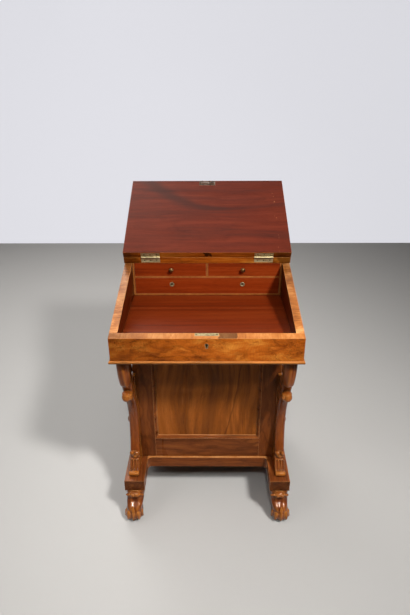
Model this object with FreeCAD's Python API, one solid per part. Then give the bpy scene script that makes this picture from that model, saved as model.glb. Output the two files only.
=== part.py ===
import FreeCAD, Part
import math
import os

from FreeCAD import Vector

# Davenport desk: a sloping writing box on a drawer pedestal with carved console supports.
# Millimetres, +X to the sitter's right, +Y to the back, +Z up.
# While it is built, Y is 0 at the front face of the writing box and Z is 0 on the floor.
# The finished desk is shifted along Y so that the origin is under the middle of its box.

# Writing box
box_width = 535.0
side_thick = 23.0
front_thick = 22.0
back_thick = 14.0
front_edge_height = 695.0
front_face_height = 71.0
base_board_thick = 10.0
nosing = 4.5
slope = 13.0
hinge_setback = 350.0
fixed_top_depth = 158.0
back_overhang = 2.5

# Lid, drawn thrown back on the gallery
lid_thick = 22.0
lid_side_overhang = 2.5
lid_front_overhang = 2.5
lid_rest_angle = 26.0
lid_edge_round = 3.0
leather_thick = 1.2
leather_margin = 46.0

# Hinges
hinge_length = 61.0
hinge_inset = 84.5
leaf_width = 19.0
leaf_thick = 2.2
knuckle_radius = 3.2
knuckle_count = 5
pin_radius = 1.5
pin_clearance = 0.05
knuckle_gap = 0.3

# Lock and link plate
lock_length = 66.0
lock_thick = 11.5
lock_height = 30.0
lock_line = 15.5
staple_places = (-17.3, 9.2)
staple_thick = 3.0
staple_width = 4.6
staple_length = 9.5
staple_eye = 4.0
eye_wall = 1.0
slot_clearance = 0.8
link_length = 58.0
link_width = 24.0
link_thick = 2.2
bolt_travel = 6.0
bolt_thick = 2.2
bolt_finger = 3.0
bolt_spine = 4.0
bolt_clearance = 0.35
lock_wall = 2.0
keyhole_drop = 21.0
keyhole_radius = 4.0
keyhole_leg = 9.0
escutcheon_rim = 1.1
escutcheon_deep = 4.0
keyhole_deep = 10.0

# Gallery on the fixed top
gallery_thick = 10.0
gallery_inset = 12.0
gallery_edge = 6.0
gallery_gap = 0.3
gallery_end_length = 92.0
gallery_end_low = 11.0
gallery_end_drop = 16.0

# Well and stationery unit
well_floor_rise = 38.0
well_floor_thick = 12.0
front_floor_depth = 235.0
bearer_width = 30.0
bearer_inset = 12.0
unit_reveal = 1.0
unit_side = 6.0
unit_base = 6.0
unit_shelf = 5.5
unit_divider = 5.5
long_drawer_space = 57.0
drawer_gap = 0.75
small_front = 9.0
small_board = 5.0
small_bottom = 4.0
bottom_rise = 2.0
unit_back_room = 8.0
small_drawer_travel = 105.0
small_knob_place = 117.0
small_knob_rise = 24.0
small_knob_radius = 7.5
small_knob_reach = 14.0
ring_radius = 8.0
ring_hole = 4.0
ring_proud = 1.0
ring_deep = 6.0
ring_rise = 33.0

# Pedestal
pedestal_inset = 33.5
pedestal_setback = 150.0
pedestal_depth = 335.0
frame_thick = 20.0
stile_width = 60.0
panel_low_rail = 76.0
panel_top_rail = 52.0
panel_thick = 8.0
panel_recess = 9.0
panel_moulding = 10.0
side_board = 18.0
side_low_rail = 66.0
drawer_rail = 12.0
drawer_rail_deep = 30.0
drawer_count = 4
top_rail = 12.0
runner_width = 16.0
runner_thick = 10.0
bottom_board = 10.0
drawer_front = 18.0
drawer_board = 8.0
drawer_bottom = 6.0
drawer_back_room = 14.0
drawer_travel = 300.0
dummy_thick = 3.0
dummy_margin = 5.0
knob_radius = 18.0
knob_reach = 37.0
knob_inset = 45.0

# Base
sledge_top = 150.0
sledge_height = 39.0
sledge_width = 64.5
sledge_front = 32.0
sledge_back_reach = 15.0
sledge_round = 1.2
base_rail_forward = 8.0
base_rail_thick = 28.0
cove_radius = 14.0

# Console supports
support_inset = 29.0
support_width = 30.5
arm_round = 9.0
arm_spring = 488.0
arm_gap = 104.0
arm_head = 32.0
arm_shoulder = 54.0
arm_bend = 0.3
shaft_top = 180.0
shaft_low = 140.0
instep_reach = 16.0
instep_rise = 72.0
leaf_top_width = 41.0
leaf_tip_width = 27.0
leaf_waist = 4.0
leaf_front = 20.0
leaf_lip = 4.0
leaf_tip_back = 6.0
leaf_back = 50.0
leaf_swell = 8.0
leaf_height = 100.0
neck_height = 10.0
neck_width = 24.0
lobe_height = 40.0
lobe_width = 31.5
lobe_front = 36.0
lobe_back = 82.0
lobe_thin = 4.0
lobe_ease = 3.0
lobe_tip_in = 11.0
lobe_tip_back = 20.0
shaft_front = 124.0
support_toe = 66.0
bead_radius = 7.2
bead_forward = 25.0
bead_rise = 55.0
curl_radius = 8.5
curl_width = 35.0
flute_radius = 4.0
flute_depth = 1.6
flute_pitch = 8.8
flute_length = 26.0
flute_rise = 48.0
flute_setback = 27.0
flute_lean = 28.0

# Feet and casters
foot_floor_gap = 13.0
foot_top_width = 60.0
cap_forward = 10.0
cap_taper = 4.0
groove_depth = 4.0
calf_width = 56.0
calf_forward = 12.0
ankle_width = 48.0
instep_slope = 9.0
toe_width = 61.0
foot_splay = 5.5
foot_top_front = 34.0
foot_top_back = 98.0
toe_front = -4.0
toe_back = 50.0
toe_round = 5.0
caster_setback = 20.0
rear_foot_inset = 32.0
rear_foot_radius = 29.0
wheel_radius = 10.0
wheel_width = 10.0
wheel_ease = 2.0
wheel_trail = 7.0
axle_radius = 1.8
axle_clearance = 0.05
fork_thick = 1.8
fork_gap = 0.6
fork_plate_radius = 10.0
fork_plate_thick = 2.0
stem_radius = 3.0
stem_length = 24.0
stem_clearance = 0.05
socket_wall = 2.5
socket_flange = 15.0
socket_flange_thick = 2.5
caster_recess = 18.5
swivel_gap = 0.4

# Places worked out from the sizes above
slope_angle = math.radians(slope)
half_box = box_width / 2
half_well = half_box - side_thick
box_floor = front_edge_height - front_face_height
base_under = box_floor - base_board_thick
fixed_top_thick = lid_thick * math.cos(slope_angle)
hinge_height = front_edge_height + hinge_setback * math.tan(slope_angle) + lid_thick / math.cos(slope_angle)
top_under = hinge_height - fixed_top_thick
top_front_low = hinge_setback + fixed_top_thick * math.tan(slope_angle)
top_back = hinge_setback + fixed_top_depth
box_back = top_back - back_overhang
half_lid = half_box + lid_side_overhang
hinge_place = half_box - hinge_inset
lid_length = (hinge_setback + lid_front_overhang) / math.cos(slope_angle)
lid_closed_turn = 180.0 - lid_rest_angle + slope
lock_reach = (hinge_setback + lid_thick * math.sin(slope_angle) - lock_line) / math.cos(slope_angle)
well_floor = box_floor + well_floor_rise
well_back = box_back - back_thick
unit_front = top_front_low + unit_reveal
half_unit = half_well - unit_side
long_low = well_floor + unit_base
long_high = long_low + long_drawer_space
small_low = long_high + unit_shelf
half_pedestal = half_box - pedestal_inset
pedestal_back = pedestal_setback + pedestal_depth
sledge_low = sledge_top - sledge_height
sledge_inner = half_box - sledge_width
sledge_back = pedestal_back + sledge_back_reach
drawer_bay_front = pedestal_setback + frame_thick
drawer_bay_back = pedestal_back - frame_thick
drawer_bay_low = sledge_top + side_low_rail
drawer_bay_high = base_under - top_rail
drawer_pitch = (drawer_bay_high - drawer_bay_low + drawer_rail) / drawer_count
drawer_space = drawer_pitch - drawer_rail
sledge_middle = half_box - sledge_width / 2
support_place = half_box - support_inset
rear_foot_back = sledge_back - rear_foot_inset

nodes = {}


def block(x0, x1, y0, y1, z0, z1):
    """A board between two opposite corners."""
    return Part.makeBox(x1 - x0, y1 - y0, z1 - z0, Vector(x0, y0, z0))


def face_of(edges):
    return Part.Face(Part.Wire(Part.__sortEdges__(edges)))


def board_along_x(profile, x0, x1):
    """A straight-sided (y, z) profile run from x0 to x1."""
    corners = [Vector(x0, y, z) for y, z in profile]
    return Part.Face(Part.makePolygon(corners + corners[:1])).extrude(Vector(x1 - x0, 0, 0))


def rod_along_x(radius, x0, x1, y, z):
    return Part.makeCylinder(radius, x1 - x0, Vector(x0, y, z), Vector(1, 0, 0))


def mirrored(shape):
    """The same piece on the other side of the desk."""
    return shape.mirror(Vector(0, 0, 0), Vector(1, 0, 0))


def both_sides(shape):
    return [shape, mirrored(shape)]


def group(solids):
    return Part.makeCompound(solids)


def joined(solids):
    """Solids that are one piece of wood or metal."""
    return solids[0].fuse(solids[1:]).removeSplitter()


def turned(outline):
    """A lathe-turned piece on the Z axis from (radius, height) lines and three-point arcs."""
    start = Vector(outline[0][0], 0, outline[0][1])
    edges = []
    here = start
    for step in outline[1:]:
        end = Vector(step[-2], 0, step[-1])
        if len(step) == 4:
            edges.append(Part.Arc(here, Vector(step[0], 0, step[1]), end).toShape())
        else:
            edges.append(Part.LineSegment(here, end).toShape())
        here = end
    edges.append(Part.LineSegment(here, start).toShape())
    return face_of(edges).revolve(Vector(0, 0, 0), Vector(0, 0, 1), 360)


def dome(radius, low, top):
    """The last step of a turning that closes over the axis, as part of a ball centred on it."""
    centre = (top ** 2 - low ** 2 - radius ** 2) / (2 * (top - low))
    size = top - centre
    angle = math.atan2(radius, low - centre) / 2
    return (size * math.sin(angle), centre + size * math.cos(angle), 0, top)


def facing(shape, direction):
    """Turn a piece that stands on +Z so that it points along direction."""
    moved = shape.copy()
    turn = FreeCAD.Rotation(Vector(0, 0, 1), Vector(*direction))
    moved.Placement = FreeCAD.Placement(Vector(0, 0, 0), turn).multiply(moved.Placement)
    return moved


def put(shape, x, y, z):
    moved = shape.copy()
    moved.translate(Vector(x, y, z))
    return moved


def at_lid(shape, degrees):
    """Lid pieces are drawn flat, hinge line on the X axis, then turned up to their pose."""
    moved = shape.copy()
    moved.rotate(Vector(0, 0, 0), Vector(1, 0, 0), degrees)
    moved.translate(Vector(0, hinge_setback, hinge_height))
    return moved


def on_open_lid(shape):
    return at_lid(shape, lid_rest_angle)


def on_closed_lid(shape):
    return at_lid(shape, lid_rest_angle + lid_closed_turn)


def slope_at(y):
    """Height of the sloping edges that the closed lid lies on."""
    return front_edge_height + y * math.tan(slope_angle)


# Writing box
def make_box():
    nose = base_board_thick / 2
    plate = block(-half_box - nosing, half_box + nosing, -nosing, box_back, base_under, box_floor)
    rounded = [e for e in plate.Edges if e.BoundBox.YMin < box_back - 1 and e.BoundBox.ZLength < 1]
    nodes["box_base"] = plate.makeFillet(min(nosing, nose) - 0.2, rounded)

    front_profile = [(0, box_floor), (front_thick, box_floor), (front_thick, slope_at(front_thick)), (0, slope_at(0))]
    front = board_along_x(front_profile, -half_box, half_box)
    nodes["front_rail"] = front.cut([lock_body(), keyhole_plug(escutcheon_rim, escutcheon_deep),
                                     keyhole_plug(0, keyhole_deep)])

    slope_end = top_front_low
    side_profile = [(front_thick, box_floor), (box_back, box_floor), (box_back, top_under),
                    (slope_end, top_under), (front_thick, slope_at(front_thick))]
    right = board_along_x(side_profile, half_well, half_box)
    nodes["right_side"] = right
    nodes["left_side"] = mirrored(right)
    nodes["box_back"] = block(-half_well, half_well, well_back, box_back, box_floor, top_under)

    floor_low = well_floor - well_floor_thick
    joint = front_thick + front_floor_depth
    nodes["well_floor_front"] = block(-half_well, half_well, front_thick, joint, floor_low, well_floor)
    nodes["well_floor_back"] = block(-half_well, half_well, joint, well_back, floor_low, well_floor)
    middle = joint - bearer_width / 2
    bearers = [front_thick + bearer_inset, middle, well_back - bearer_inset - bearer_width]
    nodes["well_bearers"] = group([block(-half_well, half_well, y, y + bearer_width, box_floor, floor_low)
                                   for y in bearers])

    top_profile = [(hinge_setback, hinge_height), (top_back, hinge_height), (top_back, top_under),
                   (top_front_low, top_under)]
    top = board_along_x(top_profile, -half_lid, half_lid)
    nodes["fixed_top"] = top.cut([on_closed_lid(s) for s in leaf_beds(-1)])


# Gallery: a back board that carries the open lid, and two shaped ends
def make_gallery():
    back_face = top_back - gallery_edge
    front_face = back_face - gallery_thick
    lean = math.tan(math.radians(lid_rest_angle))
    height = (front_face - hinge_setback) * lean - gallery_gap / math.cos(math.radians(lid_rest_angle))
    top = hinge_height + height
    reach = half_lid - gallery_inset
    nodes["gallery_back"] = block(-reach, reach, front_face, back_face, hinge_height, top)

    start = front_face - gallery_end_length
    high = hinge_height + height - gallery_end_drop
    low = hinge_height + gallery_end_low
    middle_y = (start + front_face) / 2
    middle_z = (low + high) / 2
    swell = (high - low) / 6
    quarter = gallery_end_length / 4
    x = reach - gallery_thick
    corner = [Vector(x, start, low), Vector(x, start, hinge_height), Vector(x, front_face, hinge_height),
              Vector(x, front_face, high)]
    lower = Part.Arc(corner[0], Vector(x, start + quarter, (low + middle_z) / 2 - swell), Vector(x, middle_y, middle_z))
    upper = Part.Arc(Vector(x, middle_y, middle_z), Vector(x, front_face - quarter, (middle_z + high) / 2 + swell),
                     corner[3])
    edges = [Part.LineSegment(a, b).toShape() for a, b in zip(corner[:3], corner[1:])]
    end = face_of(edges + [lower.toShape(), upper.toShape()]).extrude(Vector(gallery_thick, 0, 0))
    nodes["gallery_ends"] = group(both_sides(end))


# Hinges, drawn on the lid: the lid fills +Y of the hinge line, and the fixed top fills -Y when closed
def leaf_beds(way):
    beds = []
    low, high = sorted((0.0, way * leaf_thick))
    for x in (-hinge_place, hinge_place):
        x0, x1 = x - hinge_length / 2, x + hinge_length / 2
        beds.append(block(x0, x1, low, high, 0, leaf_width))
        beds.append(rod_along_x(knuckle_radius + knuckle_gap, x0 - knuckle_gap, x1 + knuckle_gap, 0, 0))
    return beds


def hinge_leaf(x, way, bore):
    """One leaf with its share of the knuckles: the even ones on the fixed leaf, the odd ones on the lid's."""
    x0 = x - hinge_length / 2
    pitch = hinge_length / knuckle_count
    low, high = sorted((0.0, way * leaf_thick))
    leaf = block(x0, x0 + hinge_length, low, high, 0, leaf_width)
    first = 0 if way < 0 else 1
    mine = range(first, knuckle_count, 2)
    others = range(1 - first, knuckle_count, 2)
    gap = knuckle_gap / 2
    barrels = [rod_along_x(knuckle_radius, x0 + i * pitch + gap, x0 + (i + 1) * pitch - gap, 0, 0) for i in mine]
    room = [rod_along_x(knuckle_radius + knuckle_gap, x0 + i * pitch - gap, x0 + (i + 1) * pitch + gap, 0, 0)
            for i in others]
    hole = rod_along_x(bore, x0 - 1, x0 + hinge_length + 1, 0, 0)
    return joined([leaf.cut(room)] + barrels).cut(hole)


def make_hinges():
    places = (-hinge_place, hinge_place)
    fixed = [hinge_leaf(x, -1, pin_radius + pin_clearance) for x in places]
    nodes["hinge_fixed_leaves"] = group([on_closed_lid(s) for s in fixed])
    nodes["hinge_lid_leaves"] = group([on_open_lid(hinge_leaf(x, 1, pin_radius)) for x in places])
    half = hinge_length / 2
    nodes["hinge_pins"] = group([on_open_lid(rod_along_x(pin_radius, x - half, x + half, 0, 0)) for x in places])


# Lid board with its writing leather and link plate
def make_lid():
    board = block(-half_lid, half_lid, 0, lid_length, 0, lid_thick)
    outer = [e for e in board.Edges if e.BoundBox.ZMax < 1 and e.BoundBox.YMax > 1]
    board = board.makeFillet(lid_edge_round, outer)
    leather = block(-half_lid + leather_margin, half_lid - leather_margin, leather_margin,
                    lid_length - leather_margin, 0, leather_thick)
    link_bed = block(-link_length / 2, link_length / 2, lock_reach - link_width / 2, lock_reach + link_width / 2,
                     lid_thick - link_thick, lid_thick)
    nodes["lid_board"] = on_open_lid(board.cut(leaf_beds(1) + [leather, link_bed]))
    nodes["lid_leather"] = on_open_lid(leather)
    nodes["link_plate"] = on_open_lid(joined([link_bed] + [staple(x) for x in staple_places]))


def staple(x):
    """A plate with a square eye that the lock's bolt passes through."""
    half = staple_width / 2
    top = lid_thick + staple_length
    plate = block(x - staple_thick / 2, x + staple_thick / 2, lock_reach - half, lock_reach + half, lid_thick, top)
    return plate.cut(block(x - staple_thick, x + staple_thick, lock_reach - half + eye_wall,
                           lock_reach + half - eye_wall, top - eye_wall - staple_eye, top - eye_wall))


# Lock: a case let into the back of the front rail, with slots for the staples and a sliding bolt
def lock_body():
    profile = [(front_thick - lock_thick, slope_at(front_thick - lock_thick)),
               (front_thick, slope_at(front_thick)),
               (front_thick, slope_at(0) - lock_height), (front_thick - lock_thick, slope_at(0) - lock_height)]
    return board_along_x(profile, -lock_length / 2, lock_length / 2)


def bolt_levels():
    """Depths below the lid's inner face of the staple eye's ends and of the bolt's spine."""
    eye_end = lid_thick + staple_length - eye_wall
    spine_start = lid_thick + staple_length + 2 * bolt_clearance
    return eye_end - staple_eye, eye_end, spine_start, spine_start + bolt_spine


def make_lock():
    eye_start, eye_end, spine_start, spine_end = bolt_levels()
    slots = [block(x - staple_thick / 2 - slot_clearance, x + staple_thick / 2 + slot_clearance,
                   lock_reach - staple_width / 2 - slot_clearance, lock_reach + staple_width / 2 + slot_clearance,
                   0, spine_start) for x in staple_places]
    room = bolt_thick / 2 + bolt_clearance
    end = lock_length / 2 - lock_wall
    channel = block(-end, end, lock_reach - room, lock_reach + room, eye_start, spine_end + bolt_clearance)
    nodes["lock_case"] = lock_body().cut([on_closed_lid(s) for s in slots + [channel]])

    half = bolt_thick / 2
    middle = (eye_start + eye_end) / 2
    pieces = [block(-end + bolt_clearance, end - bolt_clearance - bolt_travel, lock_reach - half, lock_reach + half,
                    spine_start, spine_end)]
    for x in staple_places:
        tip = x - staple_thick / 2 - slot_clearance - bolt_clearance
        root = tip - bolt_travel - bolt_finger
        pieces.append(block(root, tip, lock_reach - half, lock_reach + half,
                            middle - bolt_finger / 2, middle + bolt_finger / 2))
        pieces.append(block(root, root + bolt_finger, lock_reach - half, lock_reach + half,
                            middle - bolt_finger / 2, spine_end))
    nodes["lock_bolt"] = on_closed_lid(joined(pieces))
    rim = keyhole_plug(escutcheon_rim, escutcheon_deep).cut(keyhole_plug(0, keyhole_deep))
    nodes["keyhole_escutcheon"] = rim


def keyhole_plug(rim, deep):
    """The keyhole's round and leg, grown by rim and run back from the box front."""
    z = slope_at(0) - keyhole_drop
    eye = Part.makeCylinder(keyhole_radius + rim, deep, Vector(0, 0, z), Vector(0, 1, 0))
    leg = keyhole_radius / 2 + rim
    return joined([eye, block(-leg, leg, 0, deep, z - keyhole_leg - rim, z)])


# Stationery unit and its drawers
def drawer_boards(width, height, depth, front, board, bottom):
    """Five boards with the drawer front on -Y: the face is at Y 0, and X is centred."""
    half = width / 2
    inner = half - board
    back = depth - board
    return [block(-half, half, 0, front, 0, height),
            block(-half, -inner, front, depth, 0, height - bottom_rise),
            block(inner, half, front, depth, 0, height - bottom_rise),
            block(-inner, inner, back, depth, 0, height - bottom_rise),
            block(-inner, inner, front, back, bottom_rise, bottom_rise + bottom)]


def make_unit():
    y0, y1 = unit_front, well_back
    half = unit_divider / 2
    boards = both_sides(block(half_unit, half_well, y0, y1, well_floor, top_under))
    boards.append(block(-half_unit, half_unit, y0, y1, well_floor, long_low))
    boards.append(block(-half_unit, half_unit, y0, y1, long_high, small_low))
    boards.append(block(-half, half, y0, y1, small_low, top_under))
    nodes["unit_carcase"] = group(boards)


def make_inner_drawers():
    depth = well_back - unit_front - unit_back_room
    width = half_unit - unit_divider / 2 - 2 * drawer_gap
    height = top_under - small_low - drawer_gap
    middle = (half_unit + unit_divider / 2) / 2
    knob = turned([(0, 0), (small_knob_radius * 0.55, 0), (small_knob_radius * 0.45, small_knob_reach * 0.4),
                   (small_knob_radius * 0.9, small_knob_reach * 0.46, small_knob_radius, small_knob_reach * 0.66),
                   dome(small_knob_radius, small_knob_reach * 0.66, small_knob_reach)])
    knob = facing(knob, (0, -1, 0))
    boards = drawer_boards(width, height, depth, small_front, small_board, small_bottom)
    for name, side in (("left", -1), ("right", 1)):
        nodes[name + "_small_drawer"] = group([put(s, side * middle, unit_front, small_low) for s in boards])
        nodes[name + "_small_knob"] = put(knob, side * small_knob_place, unit_front, small_low + small_knob_rise)

    width = 2 * (half_unit - drawer_gap)
    height = long_drawer_space - drawer_gap
    boards = drawer_boards(width, height, depth, small_front, small_board, small_bottom)
    places = (-small_knob_place, small_knob_place)
    hole = facing(Part.makeCylinder(ring_radius, ring_deep), (0, 1, 0))
    boards[0] = boards[0].cut([put(hole, x, 0, ring_rise) for x in places])
    nodes["long_drawer"] = group([put(s, 0, unit_front, long_low) for s in boards])
    lip = ring_radius - ring_hole
    ring = turned([(ring_hole, 0), (ring_radius, 0), (ring_radius, ring_deep),
                   (ring_radius - lip / 4, ring_deep + ring_proud, ring_hole + lip / 4, ring_deep + ring_proud),
                   (ring_hole, ring_deep)])
    ring = facing(ring, (0, -1, 0))
    nodes["long_drawer_rings"] = group([put(ring, x, unit_front + ring_deep, long_low + ring_rise) for x in places])


# Pedestal
def framed_panel(y, way):
    """Stiles, rails, sunk panel and mitred moulding, with the show face at y and the frame behind it."""
    def layer(near, far):
        return sorted((y + way * near, y + way * far))
    inner = half_pedestal - stile_width
    low, high = sledge_top + panel_low_rail, base_under - panel_top_rail
    y0, y1 = layer(0, frame_thick)
    frame = [block(inner, half_pedestal, y0, y1, sledge_top, base_under),
             block(-half_pedestal, -inner, y0, y1, sledge_top, base_under),
             block(-inner, inner, y0, y1, sledge_top, low), block(-inner, inner, y0, y1, high, base_under)]
    y0, y1 = layer(panel_recess, panel_recess + panel_thick)
    panel = block(-inner, inner, y0, y1, low, high)
    return frame, panel, picture_frame(inner, low, high, y, way)


def picture_frame(inner, low, high, y, way):
    """Four ogee strips that meet in mitres round the panel opening."""
    def strip(length):
        top, foot = panel_moulding, panel_recess
        start = Vector(0, 0, 0)
        bend = Vector(0, top / 2, foot / 2)
        end = Vector(0, top, foot)
        rise = Part.Arc(start, Vector(0, top * 0.32, foot * 0.14), bend).toShape()
        fall = Part.Arc(bend, Vector(0, top * 0.68, foot * 0.86), end).toShape()
        corner = Vector(0, 0, foot)
        edges = [rise, fall, Part.LineSegment(end, corner).toShape(), Part.LineSegment(corner, start).toShape()]
        bar = face_of(edges).extrude(Vector(length, 0, 0))
        ramp = 2 * top
        for x, turn in ((0, 1), (length, -1)):
            wedge = Part.Face(Part.makePolygon([Vector(x, 0, -1), Vector(x + turn * ramp, ramp, -1),
                                                Vector(x, ramp, -1), Vector(x, 0, -1)]))
            bar = bar.cut(wedge.extrude(Vector(0, 0, foot + 2)))
        return bar
    width, height = 2 * inner, high - low
    strips = []
    for turn, length, x, z in ((0, width, -inner, low), (90, height, inner, low),
                               (180, width, inner, high), (270, height, -inner, high)):
        bar = strip(length)
        bar.rotate(Vector(0, 0, 0), Vector(0, 0, 1), turn)
        strips.append(put(bar, x, z, 0))
    strips = group(strips)
    strips.rotate(Vector(0, 0, 0), Vector(1, 0, 0), 90)
    if way > 0:
        strips = strips.mirror(Vector(0, 0, 0), Vector(0, 1, 0))
    return put(strips, 0, y, 0)


def knob_shape():
    neck = knob_radius * 0.42
    return turned([(0, 0), (knob_radius * 0.55, 0), (knob_radius * 0.55, knob_reach * 0.08), (neck, knob_reach * 0.26),
                   (knob_radius * 0.85, knob_reach * 0.36, knob_radius, knob_reach * 0.6),
                   dome(knob_radius, knob_reach * 0.6, knob_reach)])


def knob_rows():
    """Y of the two knobs on a drawer front, as shown by the drawers of the right side."""
    return (drawer_bay_front + knob_inset, drawer_bay_back - knob_inset)


def drawer_levels():
    return [drawer_bay_low + i * drawer_pitch for i in range(drawer_count)]


def make_pedestal():
    mouldings = []
    for name, y, way in (("front", pedestal_setback, 1), ("back", pedestal_back, -1)):
        frame, panel, strips = framed_panel(y, way)
        nodes["pedestal_" + name + "_frame"] = group(frame)
        nodes["pedestal_" + name + "_panel"] = panel
        mouldings += strips.Solids
    nodes["panel_mouldings"] = group(mouldings)
    y0, y1 = drawer_bay_front, drawer_bay_back
    left_inner = -half_pedestal + side_board
    nodes["pedestal_left_side"] = block(-half_pedestal, left_inner, y0, y1, sledge_top, base_under)

    rail_inner = half_pedestal - drawer_rail_deep
    rails = [block(rail_inner, half_pedestal, y0, y1, sledge_top, drawer_bay_low),
             block(rail_inner, half_pedestal, y0, y1, drawer_bay_high, base_under)]
    rails += [block(rail_inner, half_pedestal, y0, y1, z - drawer_rail, z) for z in drawer_levels()[1:]]
    nodes["drawer_rails"] = group(rails)
    runners = []
    for z in drawer_levels():
        runners.append(block(left_inner, rail_inner, y0, y0 + runner_width, z - runner_thick, z))
        runners.append(block(left_inner, rail_inner, y1 - runner_width, y1, z - runner_thick, z))
    nodes["drawer_runners"] = group(runners)
    nodes["pedestal_bottom"] = block(left_inner, rail_inner, y0, y1, sledge_top, sledge_top + bottom_board)

    knob = facing(knob_shape(), (1, 0, 0))
    width = drawer_bay_back - drawer_bay_front - 2 * drawer_gap
    height = drawer_space - drawer_gap
    depth = half_pedestal - left_inner - drawer_back_room
    boards = drawer_boards(width, height, depth, drawer_front, drawer_board, drawer_bottom)
    middle = (drawer_bay_front + drawer_bay_back) / 2
    for s in boards:
        s.rotate(Vector(0, 0, 0), Vector(0, 0, 1), 90)
    dummies = []
    dummy_knobs = []
    for i, z in enumerate(drawer_levels()):
        number = str(drawer_count - i)
        at = [(y, z + drawer_space / 2) for y in knob_rows()]
        pieces = [put(s, half_pedestal, middle, z) for s in boards]
        pieces += [put(knob, half_pedestal, y, k) for y, k in at]
        nodes["side_drawer_" + number] = group(pieces)
        dummies.append(block(-half_pedestal - dummy_thick, -half_pedestal, y0 + dummy_margin, y1 - dummy_margin,
                             z, z + drawer_space))
        dummy_knobs += [put(mirrored(knob), -half_pedestal - dummy_thick, y, k) for y, k in at]
    nodes["dummy_drawer_fronts"] = group(dummies)
    nodes["dummy_drawer_knobs"] = group(dummy_knobs)


# Base: long sledges joined by a front and a rear rail whose ends cove out to meet them
def make_base():
    sledge = block(sledge_inner, half_box, sledge_front, sledge_back, sledge_low, sledge_top)
    upper = [e for e in sledge.Edges if e.BoundBox.ZMin > sledge_top - 1 and e.BoundBox.XMax > sledge_inner + 1]
    sledge = sledge.makeFillet(sledge_round, upper)
    nodes["right_sledge"] = sledge
    nodes["left_sledge"] = mirrored(sledge)

    front = pedestal_setback - base_rail_forward
    nodes["base_front_rail"] = coved_rail(front, 1)
    nodes["base_rear_rail"] = coved_rail(pedestal_back, -1)


def coved_rail(face, way):
    """A rail in plan: straight show face, quarter coves at both ends, flat back."""
    end, r = sledge_inner, cove_radius
    bow = r * (1 - math.sqrt(0.5))
    back = face + way * base_rail_thick
    def at(x, y):
        return Vector(x, y, sledge_low)
    edges = []
    for side in (-1, 1):
        near, corner = at(side * (end - r), face), at(side * end, face - way * r)
        edges.append(Part.Arc(near, at(side * (end - bow), face - way * bow), corner).toShape())
        edges.append(Part.LineSegment(corner, at(side * end, back)).toShape())
    edges.append(Part.LineSegment(at(-end + r, face), at(end - r, face)).toShape())
    edges.append(Part.LineSegment(at(-end, back), at(end, back)).toShape())
    return face_of(edges).extrude(Vector(0, 0, sledge_height))


# Console supports: an S-shaped arm, a leaf under the box front that ends in a lobe, and a curled foot
def arm_section(width, front, back):
    """A rounded oblong across the arm, from a front (y, z) point to a back one."""
    a, b = Vector(0, *front), Vector(0, *back)
    length = (b - a).Length
    along = (b - a).normalize()
    half = width / 2
    bow = half * 0.5
    def at(x, d):
        return a + Vector(x, 0, 0) + along * d
    edges = [Part.Arc(at(-half, bow), at(0, 0), at(half, bow)).toShape(),
             Part.LineSegment(at(half, bow), at(half, length)).toShape(),
             Part.LineSegment(at(half, length), at(-half, length)).toShape(),
             Part.LineSegment(at(-half, length), at(-half, bow)).toShape()]
    return Part.Wire(edges)


def leaf_section(width, front, back, z):
    return arm_section(width, (front, z), (back, z))


def tangent_arcs(start, heading, ends):
    """A smooth line of arcs through (y, z) points: each arc sets off the way the one before it ended."""
    edges = []
    here, way = Vector(0, *start), Vector(0, *heading).normalize()
    for point in ends:
        there = Vector(0, *point)
        chord = there - here
        along = Vector(chord).normalize()
        swing = along.cross(way).x
        if abs(swing) < 1e-6:
            edges.append(Part.LineSegment(here, there).toShape())
        else:
            half_turn = math.asin(swing) / 2
            bow = chord.Length / 2 * math.tan(half_turn)
            middle = (here + there) * 0.5 + Vector(0, -along.z, along.y) * bow
            edges.append(Part.Arc(here, middle, there).toShape())
        here, way = there, along * (2 * along.dot(way)) - way
    return edges


def bracket(front, back, width, round_by):
    """A board sawn to a front and a back line of edges, with its front arrises rounded over."""
    top, foot = front[0].firstVertex().Point, front[-1].lastVertex().Point
    spring = back[-1].lastVertex().Point
    heel = Vector(0, spring.y, foot.z)
    joins = [(back[0].firstVertex().Point, top), (foot, heel), (heel, spring)]
    outline = face_of(front + back + [Part.LineSegment(a, b).toShape() for a, b in joins])
    outline.translate(Vector(-width / 2, 0, 0))
    board = outline.extrude(Vector(width, 0, 0))
    arrises = [e for e in board.Edges for f in front
               if (e.CenterOfMass - f.CenterOfMass).cross(Vector(1, 0, 0)).Length < 1e-6 and e.BoundBox.ZLength > 1]
    return board.makeFillet(round_by, arrises)


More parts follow.
